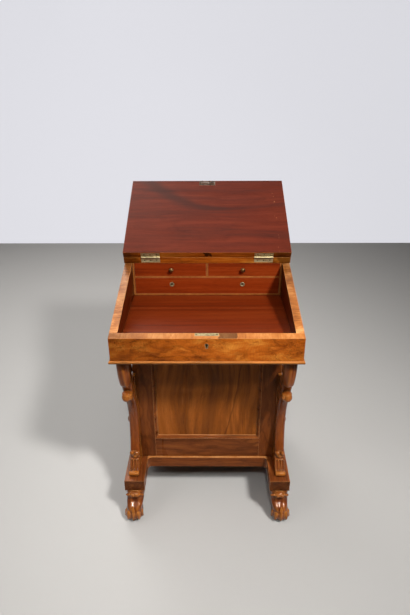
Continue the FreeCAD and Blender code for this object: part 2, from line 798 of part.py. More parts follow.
def make_supports():
    top, foot = base_under, sledge_top
    wall = pedestal_setback
    leaf_low = top - leaf_height
    neck_low = leaf_low - neck_height
    lobe_low = neck_low - lobe_height
    tip_back = leaf_back + 2 * leaf_swell
    shoulder = (arm_shoulder, neck_low)
    waist = (shaft_front, foot + shaft_top)
    bend = [a + (b - a) * arm_bend for a, b in zip(shoulder, waist)]
    down = (0, -1)
    front = tangent_arcs((arm_head, top), down,
                         [shoulder, bend, waist, (shaft_front, foot + shaft_low),
                          (shaft_front - instep_reach, foot + instep_rise), (support_toe, foot)])
    back = tangent_arcs((wall - arm_gap, top), down, [(wall, arm_spring)])
    arm = bracket(front, back, support_width, arm_round)
    leaf = Part.makeLoft([
        leaf_section(leaf_top_width, leaf_front + leaf_lip, leaf_back, top),
        leaf_section(leaf_top_width, leaf_front, leaf_back, leaf_low + 0.72 * leaf_height),
        leaf_section(leaf_top_width - leaf_waist, leaf_front, leaf_back + leaf_swell, leaf_low + 0.4 * leaf_height),
        leaf_section(leaf_tip_width, leaf_front + leaf_tip_back, tip_back, leaf_low)], True)
    neck = Part.makeLoft([
        leaf_section(neck_width, lobe_front + leaf_lip, tip_back, leaf_low),
        leaf_section(neck_width, lobe_front + leaf_lip, lobe_back, neck_low)], True)
    lobe = Part.makeLoft([
        leaf_section(lobe_width - lobe_ease, lobe_front + lobe_ease / 3, lobe_back, neck_low),
        leaf_section(lobe_width, lobe_front, lobe_back - lobe_ease, neck_low - 0.4 * lobe_height),
        leaf_section(lobe_width - lobe_ease, lobe_front + 2 * lobe_ease, lobe_back - lobe_thin,
                     neck_low - 0.75 * lobe_height),
        leaf_section(lobe_width - lobe_tip_in, lobe_front + lobe_tip_back, lobe_back - lobe_thin, lobe_low)], True)
    curl = rod_along_x(curl_radius, -curl_width / 2, curl_width / 2, support_toe + curl_radius * 0.4,
                       foot + curl_radius)
    bead_y, bead_z = shaft_front - bead_forward, foot + bead_rise
    bead_x = bead_radius * 0.9
    beads = [Part.makeSphere(bead_radius, Vector(x, bead_y, bead_z), Vector(0, 1, 0)) for x in (-bead_x, bead_x)]
    support = joined([arm, leaf, neck, lobe, curl] + beads)
    flutes = []
    lean = math.radians(flute_lean)
    slant = Vector(0, -math.sin(lean), -math.cos(lean))
    for x in (-flute_pitch, 0, flute_pitch):
        start = Vector(x, support_toe + flute_setback - flute_radius + flute_depth, foot + flute_rise)
        flutes.append(Part.makeCylinder(flute_radius, flute_length, start, slant))
    right = put(support.cut(flutes).removeSplitter(), support_place, 0, 0)
    nodes["right_support"] = right
    nodes["left_support"] = mirrored(right)


# Feet: carved front feet that step forward and outward, turned rear feet, all cut for their casters
def foot_section(width, front, back, x, z):
    """A rounded oblong in plan."""
    half = width / 2
    depth = (back - front) / 2
    y = (front + back) / 2
    cut = 0.36 * half
    bow = cut * (1 - math.sqrt(0.5))
    def at(dx, dy):
        return Vector(x + dx, y + dy, z)
    edges = []
    corners = ((1, -1), (1, 1), (-1, 1), (-1, -1))
    for i, (sx, sy) in enumerate(corners):
        one, two = at(sx * (half - cut), sy * depth), at(sx * half, sy * (depth - cut))
        if sx * sy > 0:
            one, two = two, one
        nx, ny = corners[(i + 1) % 4]
        edges.append(Part.Arc(one, at(sx * (half - bow), sy * (depth - bow)), two).toShape())
        if sx * sy > 0:
            ahead = at(nx * (half - cut), ny * depth)
        else:
            ahead = at(nx * half, ny * (depth - cut))
        edges.append(Part.LineSegment(two, ahead).toShape())
    return Part.Wire(edges)


def front_foot():
    x = sledge_middle
    out = foot_splay
    tall = sledge_low - foot_floor_gap
    cap = foot_top_front - cap_forward
    rows = [(foot_top_width, foot_top_front, foot_top_back, 0, 1.0),
            (foot_top_width, cap + cap_taper / 2, foot_top_back - cap_taper, 0, 0.92),
            (foot_top_width, cap, foot_top_back - 2 * cap_taper, 0.1, 0.84),
            (calf_width, cap + groove_depth, foot_top_back - 3 * cap_taper, 0.15, 0.78),
            (calf_width - toe_round / 2, foot_top_front - calf_forward, foot_top_back - 4 * cap_taper, 0.3, 0.6),
            (ankle_width, toe_front + instep_slope, toe_back + 3 * toe_round, 0.6, 0.4),
            (toe_width - toe_round, toe_front + toe_round / 2, toe_back + toe_round, 0.85, 0.26),
            (toe_width, toe_front, toe_back, 1.0, 0.13),
            (toe_width - 2 * toe_round, toe_front + toe_round, toe_back - toe_round / 2, 1.0, 0.0)]
    sections = [foot_section(w, front, back, x + out * share, foot_floor_gap + tall * rise)
                for w, front, back, share, rise in rows]
    return Part.makeLoft(sections, True, True)


def rear_foot():
    r = rear_foot_radius
    tall = sledge_low - foot_floor_gap
    foot = turned([(0, 0), (r * 0.78, 0), (r * 1.02, tall * 0.2, r * 0.82, tall * 0.44), (r * 0.6, tall * 0.52),
                   (r * 0.56, tall * 0.62, r * 0.72, tall * 0.7), (r * 0.95, tall * 0.74), (r, tall * 0.82),
                   (r, tall), (0, tall)])
    return put(foot, sledge_middle, rear_foot_back, foot_floor_gap)


def caster_places():
    """Swivel axes under the right-hand feet: name, x and y."""
    return (("front", sledge_middle + foot_splay, caster_setback), ("rear", sledge_middle, rear_foot_back))


def caster_socket():
    """A flanged sleeve let into the foot, with its mouth on the swivel axis at Z 0."""
    outer = stem_radius + socket_wall
    sleeve = joined([Part.makeCylinder(socket_flange, socket_flange_thick, Vector(0, 0, 0)),
                     Part.makeCylinder(outer, stem_length + socket_wall)])
    return sleeve, sleeve.cut(Part.makeCylinder(stem_radius + stem_clearance, stem_length + swivel_gap))


def caster_fork():
    """A plate with a stem above and two cheeks below that carry the axle; the plate's top is at Z 0."""
    axle_z = wheel_radius - caster_top() + swivel_gap
    inner = wheel_width / 2 + fork_gap
    plate = Part.makeCylinder(fork_plate_radius, fork_plate_thick, Vector(0, 0, -fork_plate_thick))
    stem = Part.makeCylinder(stem_radius, stem_length)
    cheek_half = axle_radius * 2.2
    cheeks = []
    for side in (-1, 1):
        x0 = min(side * inner, side * (inner + fork_thick))
        profile = [Vector(x0, -cheek_half, -fork_plate_thick / 2), Vector(x0, cheek_half, -fork_plate_thick / 2),
                   Vector(x0, cheek_half - wheel_trail, axle_z), Vector(x0, -cheek_half - wheel_trail, axle_z)]
        cheek = Part.Face(Part.makePolygon(profile + profile[:1])).extrude(Vector(fork_thick, 0, 0))
        cheeks += [cheek, rod_along_x(cheek_half, x0, x0 + fork_thick, -wheel_trail, axle_z)]
    axle = rod_along_x(axle_radius, -inner, inner, -wheel_trail, axle_z)
    return joined([plate, stem] + cheeks + [axle])


def caster_wheel():
    half = wheel_width / 2
    bore = axle_radius + axle_clearance
    rim = wheel_radius
    ease = wheel_ease
    wheel = turned([(bore, -half), (rim - ease, -half), (rim, -half + ease), (rim, half - ease),
                    (rim - ease, half), (bore, half)])
    return facing(wheel, (1, 0, 0))


def caster_top():
    """Height of the socket's mouth: the wheel, the plate over it and the running gaps."""
    return 2 * wheel_radius + fork_gap + fork_plate_thick + swivel_gap


def make_feet():
    feet = {"front": front_foot(), "rear": rear_foot()}
    seat, socket = caster_socket()
    mouth = caster_top()
    fork, wheel = caster_fork(), caster_wheel()
    sockets = []
    made = {}
    for place, x, y in caster_places():
        recess = Part.makeCylinder(caster_recess, mouth - foot_floor_gap + 1, Vector(x, y, foot_floor_gap - 1))
        right = feet[place].cut([put(seat, x, y, mouth), recess])
        sockets += both_sides(put(socket, x, y, mouth))
        for name, side in (("right", 1), ("left", -1)):
            tag = place + "_" + name
            made[tag] = right if side > 0 else mirrored(right)
            nodes[tag + "_caster_fork"] = put(fork, side * x, y, mouth - swivel_gap)
            nodes[tag + "_caster_wheel"] = put(wheel, side * x, y - wheel_trail, wheel_radius)
    nodes["caster_sockets"] = group(sockets)
    nodes["front_right_foot"] = made["front_right"]
    nodes["front_left_foot"] = made["front_left"]
    nodes["rear_feet"] = group([made["rear_right"], made["rear_left"]])


make_box()
make_gallery()
make_hinges()
make_lid()
make_lock()
make_unit()
make_inner_drawers()
make_pedestal()
make_base()
make_supports()
make_feet()

# The origin is on the floor under the middle of the desk's box at rest
bounds = group(list(nodes.values())).optimalBoundingBox()
middle_y = (bounds.YMin + bounds.YMax) / 2

os.makedirs("parts", exist_ok=True)
for node_name, node_shape in nodes.items():
    put(node_shape, 0, -middle_y, 0).exportStep("parts/" + node_name + ".step")
print(len(nodes), "nodes, middle at", round(middle_y, 3))
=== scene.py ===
import bisect
import math

import bmesh
import bpy
from bpy.props import FloatProperty, FloatVectorProperty, PointerProperty
from mathutils import Matrix, Vector


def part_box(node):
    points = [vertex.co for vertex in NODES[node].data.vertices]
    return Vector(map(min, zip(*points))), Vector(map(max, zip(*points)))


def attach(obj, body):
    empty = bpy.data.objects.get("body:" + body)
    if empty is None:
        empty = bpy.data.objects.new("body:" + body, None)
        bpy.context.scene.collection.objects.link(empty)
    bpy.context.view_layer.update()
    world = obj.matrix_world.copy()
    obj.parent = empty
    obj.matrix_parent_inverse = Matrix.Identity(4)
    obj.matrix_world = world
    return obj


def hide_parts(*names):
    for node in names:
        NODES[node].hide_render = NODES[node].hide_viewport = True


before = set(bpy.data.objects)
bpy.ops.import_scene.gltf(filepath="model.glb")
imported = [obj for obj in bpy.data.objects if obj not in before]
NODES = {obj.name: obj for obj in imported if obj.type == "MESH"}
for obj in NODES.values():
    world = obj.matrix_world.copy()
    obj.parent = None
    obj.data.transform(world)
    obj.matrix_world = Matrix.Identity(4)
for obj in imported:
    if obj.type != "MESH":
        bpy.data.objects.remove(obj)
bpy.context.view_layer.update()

bl_info = {
    "name": "Davenport Desk",
    "version": (1, 0, 0),
    "blender": (4, 5, 0),
    "location": "View3D > Sidebar > Davenport",
    "description": "Dresses the packed davenport desk with carved, turned and polished pieces",
    "category": "Object",
}

MM = 0.001
# Drawing coordinates are mm with Y 0 at the front face of the writing box
FRONT_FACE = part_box("front_rail")[0].y
LID_LEAN = math.radians(26.0)
SLOPE = math.radians(13.0)
# From the hinge to the lid's far edge, and out of its inner face, with the lid open as it stands at rest
LID_OUT = Vector((0, math.cos(LID_LEAN), math.sin(LID_LEAN)))
LID_FACE = Vector((0, -math.sin(LID_LEAN), math.cos(LID_LEAN)))
# The same way out with the lid shut, and the way that the writing slope's edges look
CLOSED_OUT = Vector((0, -math.cos(SLOPE), -math.sin(SLOPE)))
SLOPE_UP = Vector((0, -math.sin(SLOPE), math.cos(SLOPE)))
# Thickness of the fronts of the side drawers and of the stationery drawers
DRAWER_FRONT, SMALL_FRONT = 0.018, 0.009
# Faces that meet at more than this angle keep a crisp edge
CREASE = math.radians(40.0)
# Pattern sizes in mm that the woods share; pores are drawn coarser than real ones, so that they show
PORE, CLOUD, RIPPLE, KNOT = 1.3, 75.0, 7.0, 26.0
STRIPE, STRIPE_CLOUD, WANDER, RUBBING, STAIN, DENT = 9.0, 55.0, 45.0, 60.0, 16.0, 7.0
# How much the swirl, the pores and the stripes of edges are drawn out, with the grain along X
SWIRL_RUN, PORE_RUN, STRIPE_RUN = (0.4, 1, 1), (0.07, 1, 1), (1, 0.25, 0.25)
# Growth lines in the range of the swirl, and a shift that keeps the clouds apart from it
GROWTH, CLOUD_SHIFT = 7.0, (31.0, 17.0, 53.0)
# A wave texture of scale 1 repeats after this length
WAVE = 0.314
# Pattern sizes in mm of the leather, whose pebbles are drawn coarser than real ones, so that they show
SCUFF, PEBBLE = 45.0, 2.2
# Gilt lines on the leather, in metres: their distances from its edge and half their width
GILT_LINES, GILT_HALF = (0.011, 0.016), 0.0009
# How far the ends of the repair in the front rail wander, in metres
RAGGED = 0.05
# How far in mm the grain of one piece may lie from that of the next
SHIFT = (730, 510, 950)
# A Mix node for colours takes the share as 0 and the colours as 6 and 7; one for values takes 2 and 3
COLOUR_MIX = dict(data_type="RGBA", out=2)


def linear(code):
    """An sRGB hex colour as linear red, green, blue and alpha."""
    values = [int(code[i:i + 2], 16) / 255 for i in (1, 3, 5)]
    return [v / 12.92 if v <= 0.04045 else ((v + 0.055) / 1.055) ** 2.4 for v in values] + [1.0]


def dimmed(colour, share):
    """A colour times a share, with its alpha kept."""
    return [min(c * share, 1.0) for c in colour[:3]] + [1.0]


def shades(colour, low, high):
    """Dark, middle and light tones of one colour."""
    return dimmed(colour, low), colour, dimmed(colour, high)


def wood_tones(looks, wood):
    """Dark, middle and light tones of a wood in the finishes."""
    return [getattr(looks, wood + tone) for tone in ("_dark", "_mid", "_light")]


def colour_prop(title, words, code):
    """A colour that a user can change."""
    return FloatVectorProperty(name=title, description=words, subtype="COLOR", size=4, min=0.0, max=1.0,
                               default=linear(code))


def length_prop(title, words, size):
    """A length that a user can change, given in mm."""
    return FloatProperty(name=title, description=words, subtype="DISTANCE", unit="LENGTH",
                         default=size * MM)


class DeskFinishes(bpy.types.PropertyGroup):
    """Colours of the woods, metals and leather."""

    burr_dark: colour_prop("Burr dark", "Knots and squiggles of the burr walnut", "#6A2E0C")
    burr_mid: colour_prop("Burr mid", "Body colour of the burr walnut on the writing box", "#A85414")
    burr_light: colour_prop("Burr light", "Palest figure of the burr walnut", "#C47A2C")
    walnut_dark: colour_prop("Walnut dark", "Heart streaks of the pedestal's walnut", "#3C1C0C")
    walnut_mid: colour_prop("Walnut mid", "Body colour of the pedestal's walnut", "#6C3616")
    walnut_light: colour_prop("Walnut light", "Palest figure of the pedestal's walnut", "#8E4E22")
    panel_dark: colour_prop("Panel dark", "Streaks of the pedestal's panel", "#42200A")
    panel_mid: colour_prop("Panel mid", "Body colour of the pedestal's panel", "#824414")
    panel_light: colour_prop("Panel light", "Palest figure of the pedestal's panel", "#A86026")
    # The nosing's pale tone is partly rubbing and partly a painted highlight
    nosing: colour_prop("Nosing", "Rubbed edge of the board under the writing box", "#A4642F")
    carved_dark: colour_prop("Carved dark", "Dark grain of the carved walnut", "#421A08")
    carved_mid: colour_prop("Carved mid", "Body colour of the carved walnut", "#6A300E")
    carved_light: colour_prop("Carved light", "Palest grain of the carved walnut", "#904A18")
    band_dark: colour_prop("Band dark", "Dark stripes of the cross-banded edges", "#6E3818")
    band_mid: colour_prop("Band mid", "Body colour of the cross-banded edges", "#A0602C")
    band_light: colour_prop("Band light", "Pale stripes of the cross-banded edges", "#C88C54")
    mahogany_dark: colour_prop("Mahogany dark", "Streaks of the mahogany", "#4A160A")
    mahogany_mid: colour_prop("Mahogany mid", "Body colour of the mahogany in the well", "#7E2C0C")
    mahogany_light: colour_prop("Mahogany light", "Palest figure of the mahogany", "#92401A")
    lid_dark: colour_prop("Lid dark", "Heart streak across the lid's inner face", "#341A16")
    lid_mid: colour_prop("Lid mid", "Body colour of the lid's inner face", "#561F13")
    lid_light: colour_prop("Lid light", "Palest figure of the lid's inner face", "#692B1B")
    shellac: colour_prop("Shellac", "Amber tint of the old polish in its soft reflections", "#E0A468")
    lining: colour_prop("Drawer lining", "Bare wood inside the drawers and frame", "#B48A5C")
    brass: colour_prop("Brass", "Hinges", "#C8B88A")
    clouded: colour_prop("Clouded brass", "Lock, keyhole plate and drawer rings", "#94845E")
    browned: colour_prop("Browned brass", "Link plate in the lid", "#4E3828")
    iron: colour_prop("Blackened iron", "Bolt of the lock", "#1E1A17")
    arris: colour_prop("Mahogany arris", "Rubbed edges of the mahogany", "#B0653A")
    bronze: colour_prop("Bronze", "Knobs of the stationery drawers", "#7A5C34")
    screw: colour_prop("Screws", "Heads of the screws", "#5A4828")
    caster: colour_prop("Caster brass", "Forks and wheels of the casters", "#4A4030")
    leather: colour_prop("Leather", "Writing surface on the lid", "#4A1E14")
    tooling: colour_prop("Tooled line", "Gilt line round the writing surface", "#B48A3C")
    floor: colour_prop("Floor", "Pale studio floor", "#ABA8A4")
    wall: colour_prop("Wall", "Pale studio wall, as it is seen", "#E6E6EC")
    wall_shade: colour_prop("Wall in light", "How the studio wall takes and returns lamp light", "#6A6A70")
    sky: colour_prop("Sky", "Soft light from all round", "#F2F2F6")


class DeskCarving(bpy.types.PropertyGroup):
    """Sizes of the carved and turned details."""

    bead: length_prop("Support bead", "Radius of the two beads above each support's foot", 7.4)
    flute: length_prop("Flute depth", "Depth of the flutes on each support's foot", 5.0)
    curl: length_prop("Curl", "Radius of the curl at each support's toe", 7.5)
    toe: length_prop("Toe relief", "How far the carved toes stand out of the front feet", 5.0)
    cluster: length_prop("Foot bead", "Radius of the beads at the top of the front feet", 5.8)
    screw_head: length_prop("Screw head", "Radius of the screw heads in the brass plates", 2.6)


def fill(tree, node, inputs):
    """Set or link a node's inputs, given in order or by key."""
    for key, value in inputs.items() if isinstance(inputs, dict) else enumerate(inputs):
        socket = node.inputs[key]
        if isinstance(value, bpy.types.NodeSocket):
            tree.links.new(value, socket)
        else:
            socket.default_value = value


def add(tree, kind, inputs=(), operation=None, out=0, stops=(), **settings):
    """Add a shader node and give one of its outputs, or the node itself if out is None.

    settings are its own properties and stops a ramp's colours. A MapRange takes the value, the low and high
    of where it comes from, and those of where it goes.
    """
    node = tree.nodes.new("ShaderNode" + kind)
    if operation:
        node.operation = operation
    for key, value in settings.items():
        setattr(node, key, value)
    fill(tree, node, inputs)
    for i, (place, colour) in enumerate(stops):
        elements = node.color_ramp.elements
        stop = elements[i] if i < len(elements) else elements.new(place)
        stop.position = place
        stop.color = colour
    return node if out is None else node.outputs[out]


def new_material(name):
    """A material with one shader, its nodes and that shader."""
    material = bpy.data.materials.new(name)
    material.use_nodes = True
    tree = material.node_tree
    tree.nodes.clear()
    shader = add(tree, "BsdfPrincipled", out=None)
    add(tree, "OutputMaterial", {"Surface": shader.outputs[0]}, out=None)
    return material, tree, shader


def own_millimetres(tree, run):
    """Object coordinates in mm with the grain along X, and an offset of each piece's own."""
    place = add(tree, "TexCoord", out="Object")
    scaled = add(tree, "VectorMath", {0: place, "Scale": 1000.0}, "SCALE")
    own = add(tree, "ObjectInfo", out="Random")
    shift = add(tree, "VectorMath", {0: SHIFT, "Scale": own}, "SCALE")
    moved = add(tree, "VectorMath", (scaled, shift), "ADD")
    apart = add(tree, "SeparateXYZ", (moved,), out=None).outputs
    order = {"x": (0, 1, 2), "y": (1, 0, 2), "z": (2, 0, 1)}[run]
    return add(tree, "CombineXYZ", [apart[k] for k in order])


def facing(tree, normal):
    """1 on faces that look along normal, within 26 degrees, and 0 elsewhere."""
    look = add(tree, "TexCoord", out="Normal")
    turn = add(tree, "VectorMath", (look, tuple(normal)), "DOT_PRODUCT", out="Value")
    return add(tree, "Math", (turn, 0.9), "GREATER_THAN")


def inward(tree):
    """1 on upright faces that look towards the desk's middle, 0 elsewhere."""
    where = add(tree, "TexCoord", out=None).outputs
    both = add(tree, "VectorMath", (where["Object"], where["Normal"]), "MULTIPLY")
    turn = add(tree, "VectorMath", (both, (1, 1, 0)), "DOT_PRODUCT", out="Value")
    return add(tree, "Math", (turn, -0.05), "LESS_THAN")


def figure_colour(tree, at, tones, streak, length, swirl, figure, veins, spread=0.12, ripple=0.0, burr=0.0):
    """Streaks along the grain, bent by a slow swirl, with dark veins, pores, cross ripple and burr.

    All sizes are mm. Gives the colour, a cloud for the gloss and the pores for the bump.
    """
    dark, mid, light = tones
    slow_at = add(tree, "VectorMath", (at, SWIRL_RUN), "MULTIPLY")
    slow = add(tree, "TexNoise", {"Vector": slow_at, "Scale": 1 / figure, "Detail": 1.5}, out=None).outputs
    bend = add(tree, "VectorMath", (slow["Color"], (0.5, 0.5, 0.5)), "SUBTRACT")
    bend = add(tree, "VectorMath", {0: bend, "Scale": swirl * 3}, "SCALE")
    bent = add(tree, "VectorMath", (at, bend), "ADD")
    drawn = add(tree, "VectorMath", (bent, (streak / length, 1, 1)), "MULTIPLY")
    fine = add(tree, "TexNoise", {"Vector": drawn, "Scale": 1 / streak, "Detail": 7.0, "Roughness": 0.62})
    broad = add(tree, "TexNoise", {"Vector": drawn, "Scale": 0.3 / streak, "Detail": 2.0})
    tone = add(tree, "Mix", {0: 0.45, 2: fine, 3: broad})
    colour = add(tree, "ValToRGB", (tone,),
                 stops=((0.5 - spread, dark), (0.5, mid), (0.5 + spread, light)))
    # Growth lines: level lines of the slow swirl, so they close round knots and run out along the grain
    level = add(tree, "Math", (slow["Fac"], GROWTH), "MULTIPLY")
    level = add(tree, "Math", (level, fine), "ADD")
    level = add(tree, "Math", (level, 0.5), "PINGPONG")
    shade = add(tree, "MapRange", (level, 0.0, 0.17, 1 - veins, 1.0), interpolation_type="SMOOTHSTEP")
    pore_at = add(tree, "VectorMath", (bent, PORE_RUN), "MULTIPLY")
    pores = add(tree, "TexNoise", {"Vector": pore_at, "Scale": 1 / PORE, "Detail": 1.0})
    dots = add(tree, "MapRange", (pores, 0.55, 0.75, 1.0, 0.7))
    shade = add(tree, "Math", (shade, dots), "MULTIPLY")
    patch_at = add(tree, "VectorMath", (at, CLOUD_SHIFT), "ADD")
    patch = add(tree, "TexNoise", {"Vector": patch_at, "Scale": 1 / CLOUD, "Detail": 1.0})
    if ripple:
        wave = add(tree, "TexWave", {"Vector": bent, "Scale": WAVE / RIPPLE, "Distortion": 5.0,
                                     "Detail": 3.0}, bands_direction="X", out="Fac")
        lift = add(tree, "MapRange", (patch, 0.42, 0.58, 0.0, ripple))
        wave = add(tree, "Math", (wave, 0.5), "SUBTRACT")
        wave = add(tree, "Math", (wave, lift, 1.0), "MULTIPLY_ADD")
        shade = add(tree, "Math", (shade, wave), "MULTIPLY")
    if burr:
        knots = add(tree, "TexNoise", {"Vector": at, "Scale": 1 / KNOT, "Detail": 4.0, "Roughness": 0.6,
                                       "Distortion": 1.6})
        knots = add(tree, "Math", (knots, 0.06), "PINGPONG")
        near = add(tree, "MapRange", (patch, 0.4, 0.6, burr, 0.0))
        line = add(tree, "MapRange", (knots, 0.0, 0.03, 1.0, 0.0), interpolation_type="SMOOTHSTEP")
        line = add(tree, "Math", (line, near), "MULTIPLY")
        line = add(tree, "Math", (1.0, line), "SUBTRACT")
        shade = add(tree, "Math", (shade, line), "MULTIPLY")
    colour = add(tree, "VectorMath", {0: colour, "Scale": shade}, "SCALE")
    return colour, broad, pores


def cross_band(tree, at, looks, low, high):
    """Edge veneer whose grain runs across the edge, so it shows as short pale and brown stripes.

    The tones run from dark at low to light at high, out of 0 to 1.
    """
    across = add(tree, "VectorMath", (at, STRIPE_RUN), "MULTIPLY")
    stripe = add(tree, "TexNoise", {"Vector": across, "Scale": 1 / STRIPE, "Detail": 6.0, "Roughness": 0.7,
                                    "Distortion": 0.8})
    broad = add(tree, "TexNoise", {"Vector": at, "Scale": 1 / STRIPE_CLOUD, "Detail": 1.0})
    stripe = add(tree, "Mix", {0: 0.4, 2: stripe, 3: broad})
    places = (low, (low + high) / 2, high)
    return add(tree, "ValToRGB", (stripe,), stops=list(zip(places, wood_tones(looks, "band"))))


def heart_streak(tree, at, across, along, rest, bow, turn, wide):
    """1 on a dark streak and 0 away from it, with its places and its width in metres.

    It lies at rest across the grain, and before turn along the grain it bows off that.
    """
    # How far the streak wanders to both sides together
    stray = 0.012
    past = add(tree, "Math", (along, turn), "SUBTRACT")
    past = add(tree, "Math", (past, 0.0), "MINIMUM")
    line = add(tree, "Math", (past, past), "MULTIPLY")
    line = add(tree, "Math", (line, bow, rest - stray / 2), "MULTIPLY_ADD")
    wander = add(tree, "TexNoise", {"Vector": at, "Scale": 1 / WANDER, "Detail": 2.0})
    line = add(tree, "Math", (wander, stray, line), "MULTIPLY_ADD")
    away = add(tree, "Math", (across, line), "SUBTRACT")
    away = add(tree, "Math", (away,), "ABSOLUTE")
    away = add(tree, "Math", (away, wide), "DIVIDE")
    return add(tree, "MapRange", (away, 0.05, 1.0, 1.0, 0.0), interpolation_type="SMOOTHSTEP")


def polish(tree, shader, looks, at, figure, gloss=0.34, coat=0.05, ior=1.32, wear=0.8, worn=None, wax_and_shade=0.4,
           reach=0.014, carved=0.0):
    """French polish over a figure: rubbed pale arrises, darkened corners from waxy residue and painted
    shade, and an uneven soft gloss.

    wear and worn are the strength and colour of the rubbing, wax_and_shade is what the waxy residue and
    painted shade leave of the colour in corners out to reach metres, and carved is how much paler proud
    forms are drawn, partly rubbing and partly painted highlight.
    """
    colour, cloud, pores = figure
    # Arrises are drawn about 2 mm round, a little more than the real ones, so that they show
    rounded = add(tree, "Bevel", {"Radius": 2 * MM}, samples=4)
    flat = add(tree, "NewGeometry", out="Normal")
    same = add(tree, "VectorMath", (rounded, flat), "DOT_PRODUCT", out="Value")
    patchy = add(tree, "TexNoise", {"Vector": at, "Scale": 1 / RUBBING, "Detail": 3.0})
    patchy = add(tree, "MapRange", (patchy, 0.3, 0.6, 0.5, 1.0))
    rub = add(tree, "MapRange", (same, 0.995, 0.88, 0.0, wear))
    rub = add(tree, "Math", (rub, patchy), "MULTIPLY")
    colour = add(tree, "Mix", {0: rub, 6: colour, 7: worn or looks.band_light}, **COLOUR_MIX)
    # Proud carved forms are drawn paler, partly rubbing and partly painted highlight; hollows get painted
    # shade
    if carved:
        bulge = add(tree, "NewGeometry", out="Pointiness")
        proud_highlight = add(tree, "MapRange", (bulge, 0.5, 0.58, 0.0, carved))
        colour = add(tree, "Mix", {0: proud_highlight, 6: colour, 7: looks.burr_light}, **COLOUR_MIX)
        sunk_shade = add(tree, "MapRange", (bulge, 0.43, 0.495, 0.25, 1.0))
        colour = add(tree, "VectorMath", {0: colour, "Scale": sunk_shade}, "SCALE")
    # Corners go darker out to reach: partly waxy residue, partly painted shade
    close = add(tree, "AmbientOcclusion", {"Distance": reach}, samples=6, out="AO")
    corner_shade = add(tree, "MapRange", (close, 0.2, 0.75, wax_and_shade, 1.0))
    colour = add(tree, "VectorMath", {0: colour, "Scale": corner_shade}, "SCALE")
    rough = add(tree, "MapRange", (cloud, 0.35, 0.65, gloss - 0.07, gloss + 0.1))
    bump = add(tree, "Bump", {"Strength": 0.1, "Distance": 0.4 * MM, "Height": pores, "Normal": rounded})
    fill(tree, shader, {"Base Color": colour, "Roughness": rough, "Normal": bump, "IOR": ior,
                        "Specular Tint": looks.shellac, "Coat Weight": coat, "Coat Roughness": 0.12})


def wood(name, looks, tones, run, look, inside=None, edges=(), ends=None, rails=None, lining=None,
         painted_falloff=None, under=None, streaks=(), repair=None, **surface):
    """A polished wood, what joinery does to it, and painted shade on it.

    inside is another figure, painted shade, on faces that look inwards, edges are cross-banded faces with
    the low and high of their stripes, ends darken the end grain, partly its own darkness and partly painted
    shade, rails is the half width between stiles where the grain runs level, lining is (axis, limit) past
    which the wood is bare, painted_falloff is (axis, start, end, low) and darkens the start with painted
    shade, under is painted shade on what looks down, streaks are dark heart streaks that bow across an
    upright panel, and repair is the middle, half length and shade of a ragged darker piece let into the
    edges.
    """
    material, tree, shader = new_material(name)
    at = own_millimetres(tree, run)
    place = add(tree, "TexCoord", out="Object")
    side, _, height = add(tree, "SeparateXYZ", (place,), out=None).outputs
    colour, cloud, pores = figure_colour(tree, at, tones, **look)
    for rest, bow, turn, wide, strength in streaks:
        heart = heart_streak(tree, at, side, height, rest, bow, turn, wide)
        heart = add(tree, "Math", (heart, strength), "MULTIPLY")
        colour = add(tree, "Mix", {0: heart, 6: colour, 7: tones[0]}, **COLOUR_MIX)
    if rails:
        level = figure_colour(tree, own_millimetres(tree, "x"), tones, **look)[0]
        far = add(tree, "Math", (side,), "ABSOLUTE")
        between = add(tree, "Math", (far, rails), "LESS_THAN")
        colour = add(tree, "Mix", {0: between, 6: colour, 7: level}, **COLOUR_MIX)
    # Faces that look inwards take the inside tones: painted shade
    if inside:
        inner = figure_colour(tree, at, inside, **PLAIN_GRAIN)[0]
        colour = add(tree, "Mix", {0: inward(tree), 6: colour, 7: inner}, **COLOUR_MIX)
    # Painted shade: darker towards the start of the axis, with clouds in its edge
    if painted_falloff:
        axis, start, end, low = painted_falloff
        wave = add(tree, "VectorMath", (place, axis), "DOT_PRODUCT", out="Value")
        wave = add(tree, "Math", (cloud, 0.2, wave), "MULTIPLY_ADD")
        dim = add(tree, "MapRange", (wave, start, end, low, 1.0))
        colour = add(tree, "VectorMath", {0: colour, "Scale": dim}, "SCALE")
    for normal, low, high in edges:
        band = cross_band(tree, at, looks, low, high)
        if repair:
            middle, half, share = repair
            ragged = add(tree, "Math", (cloud, RAGGED, side), "MULTIPLY_ADD")
            newer = add(tree, "Math", (ragged, middle + RAGGED / 2, half), "COMPARE")
            shade = add(tree, "Math", (newer, share - 1, 1.0), "MULTIPLY_ADD")
            band = add(tree, "VectorMath", {0: band, "Scale": shade}, "SCALE")
        # The cross-banded edges get the same painted shade
        if painted_falloff:
            band = add(tree, "VectorMath", {0: band, "Scale": dim}, "SCALE")
        colour = add(tree, "Mix", {0: facing(tree, normal), 6: colour, 7: band}, **COLOUR_MIX)
    if under or ends:
        outward = add(tree, "TexCoord", out="Normal")
        _, look_y, look_z = add(tree, "SeparateXYZ", (outward,), out=None).outputs
    # Painted shade on faces that look down
    if under:
        shade = add(tree, "MapRange", (look_z, -0.4, 0.3, under, 1.0))
        colour = add(tree, "VectorMath", {0: colour, "Scale": shade}, "SCALE")
    # Darker end grain on faces that look along Y: partly its own darkness, partly painted shade
    if ends:
        end_on = add(tree, "Math", (look_y,), "ABSOLUTE")
        shade = add(tree, "MapRange", (end_on, 0.7, 0.9, 1.0, ends))
        colour = add(tree, "VectorMath", {0: colour, "Scale": shade}, "SCALE")
    if lining:
        axis, limit = lining
        past = add(tree, "VectorMath", (place, axis), "DOT_PRODUCT", out="Value")
        past = add(tree, "Math", (past, limit), "GREATER_THAN")
        deep = own_millimetres(tree, "x" if axis[0] else "y")
        bare = figure_colour(tree, deep, shades(looks.lining, 0.6, 1.15), **PINE_GRAIN)[0]
        colour = add(tree, "Mix", {0: past, 6: colour, 7: bare}, **COLOUR_MIX)
    polish(tree, shader, looks, at, (colour, cloud, pores), **surface)
    return material


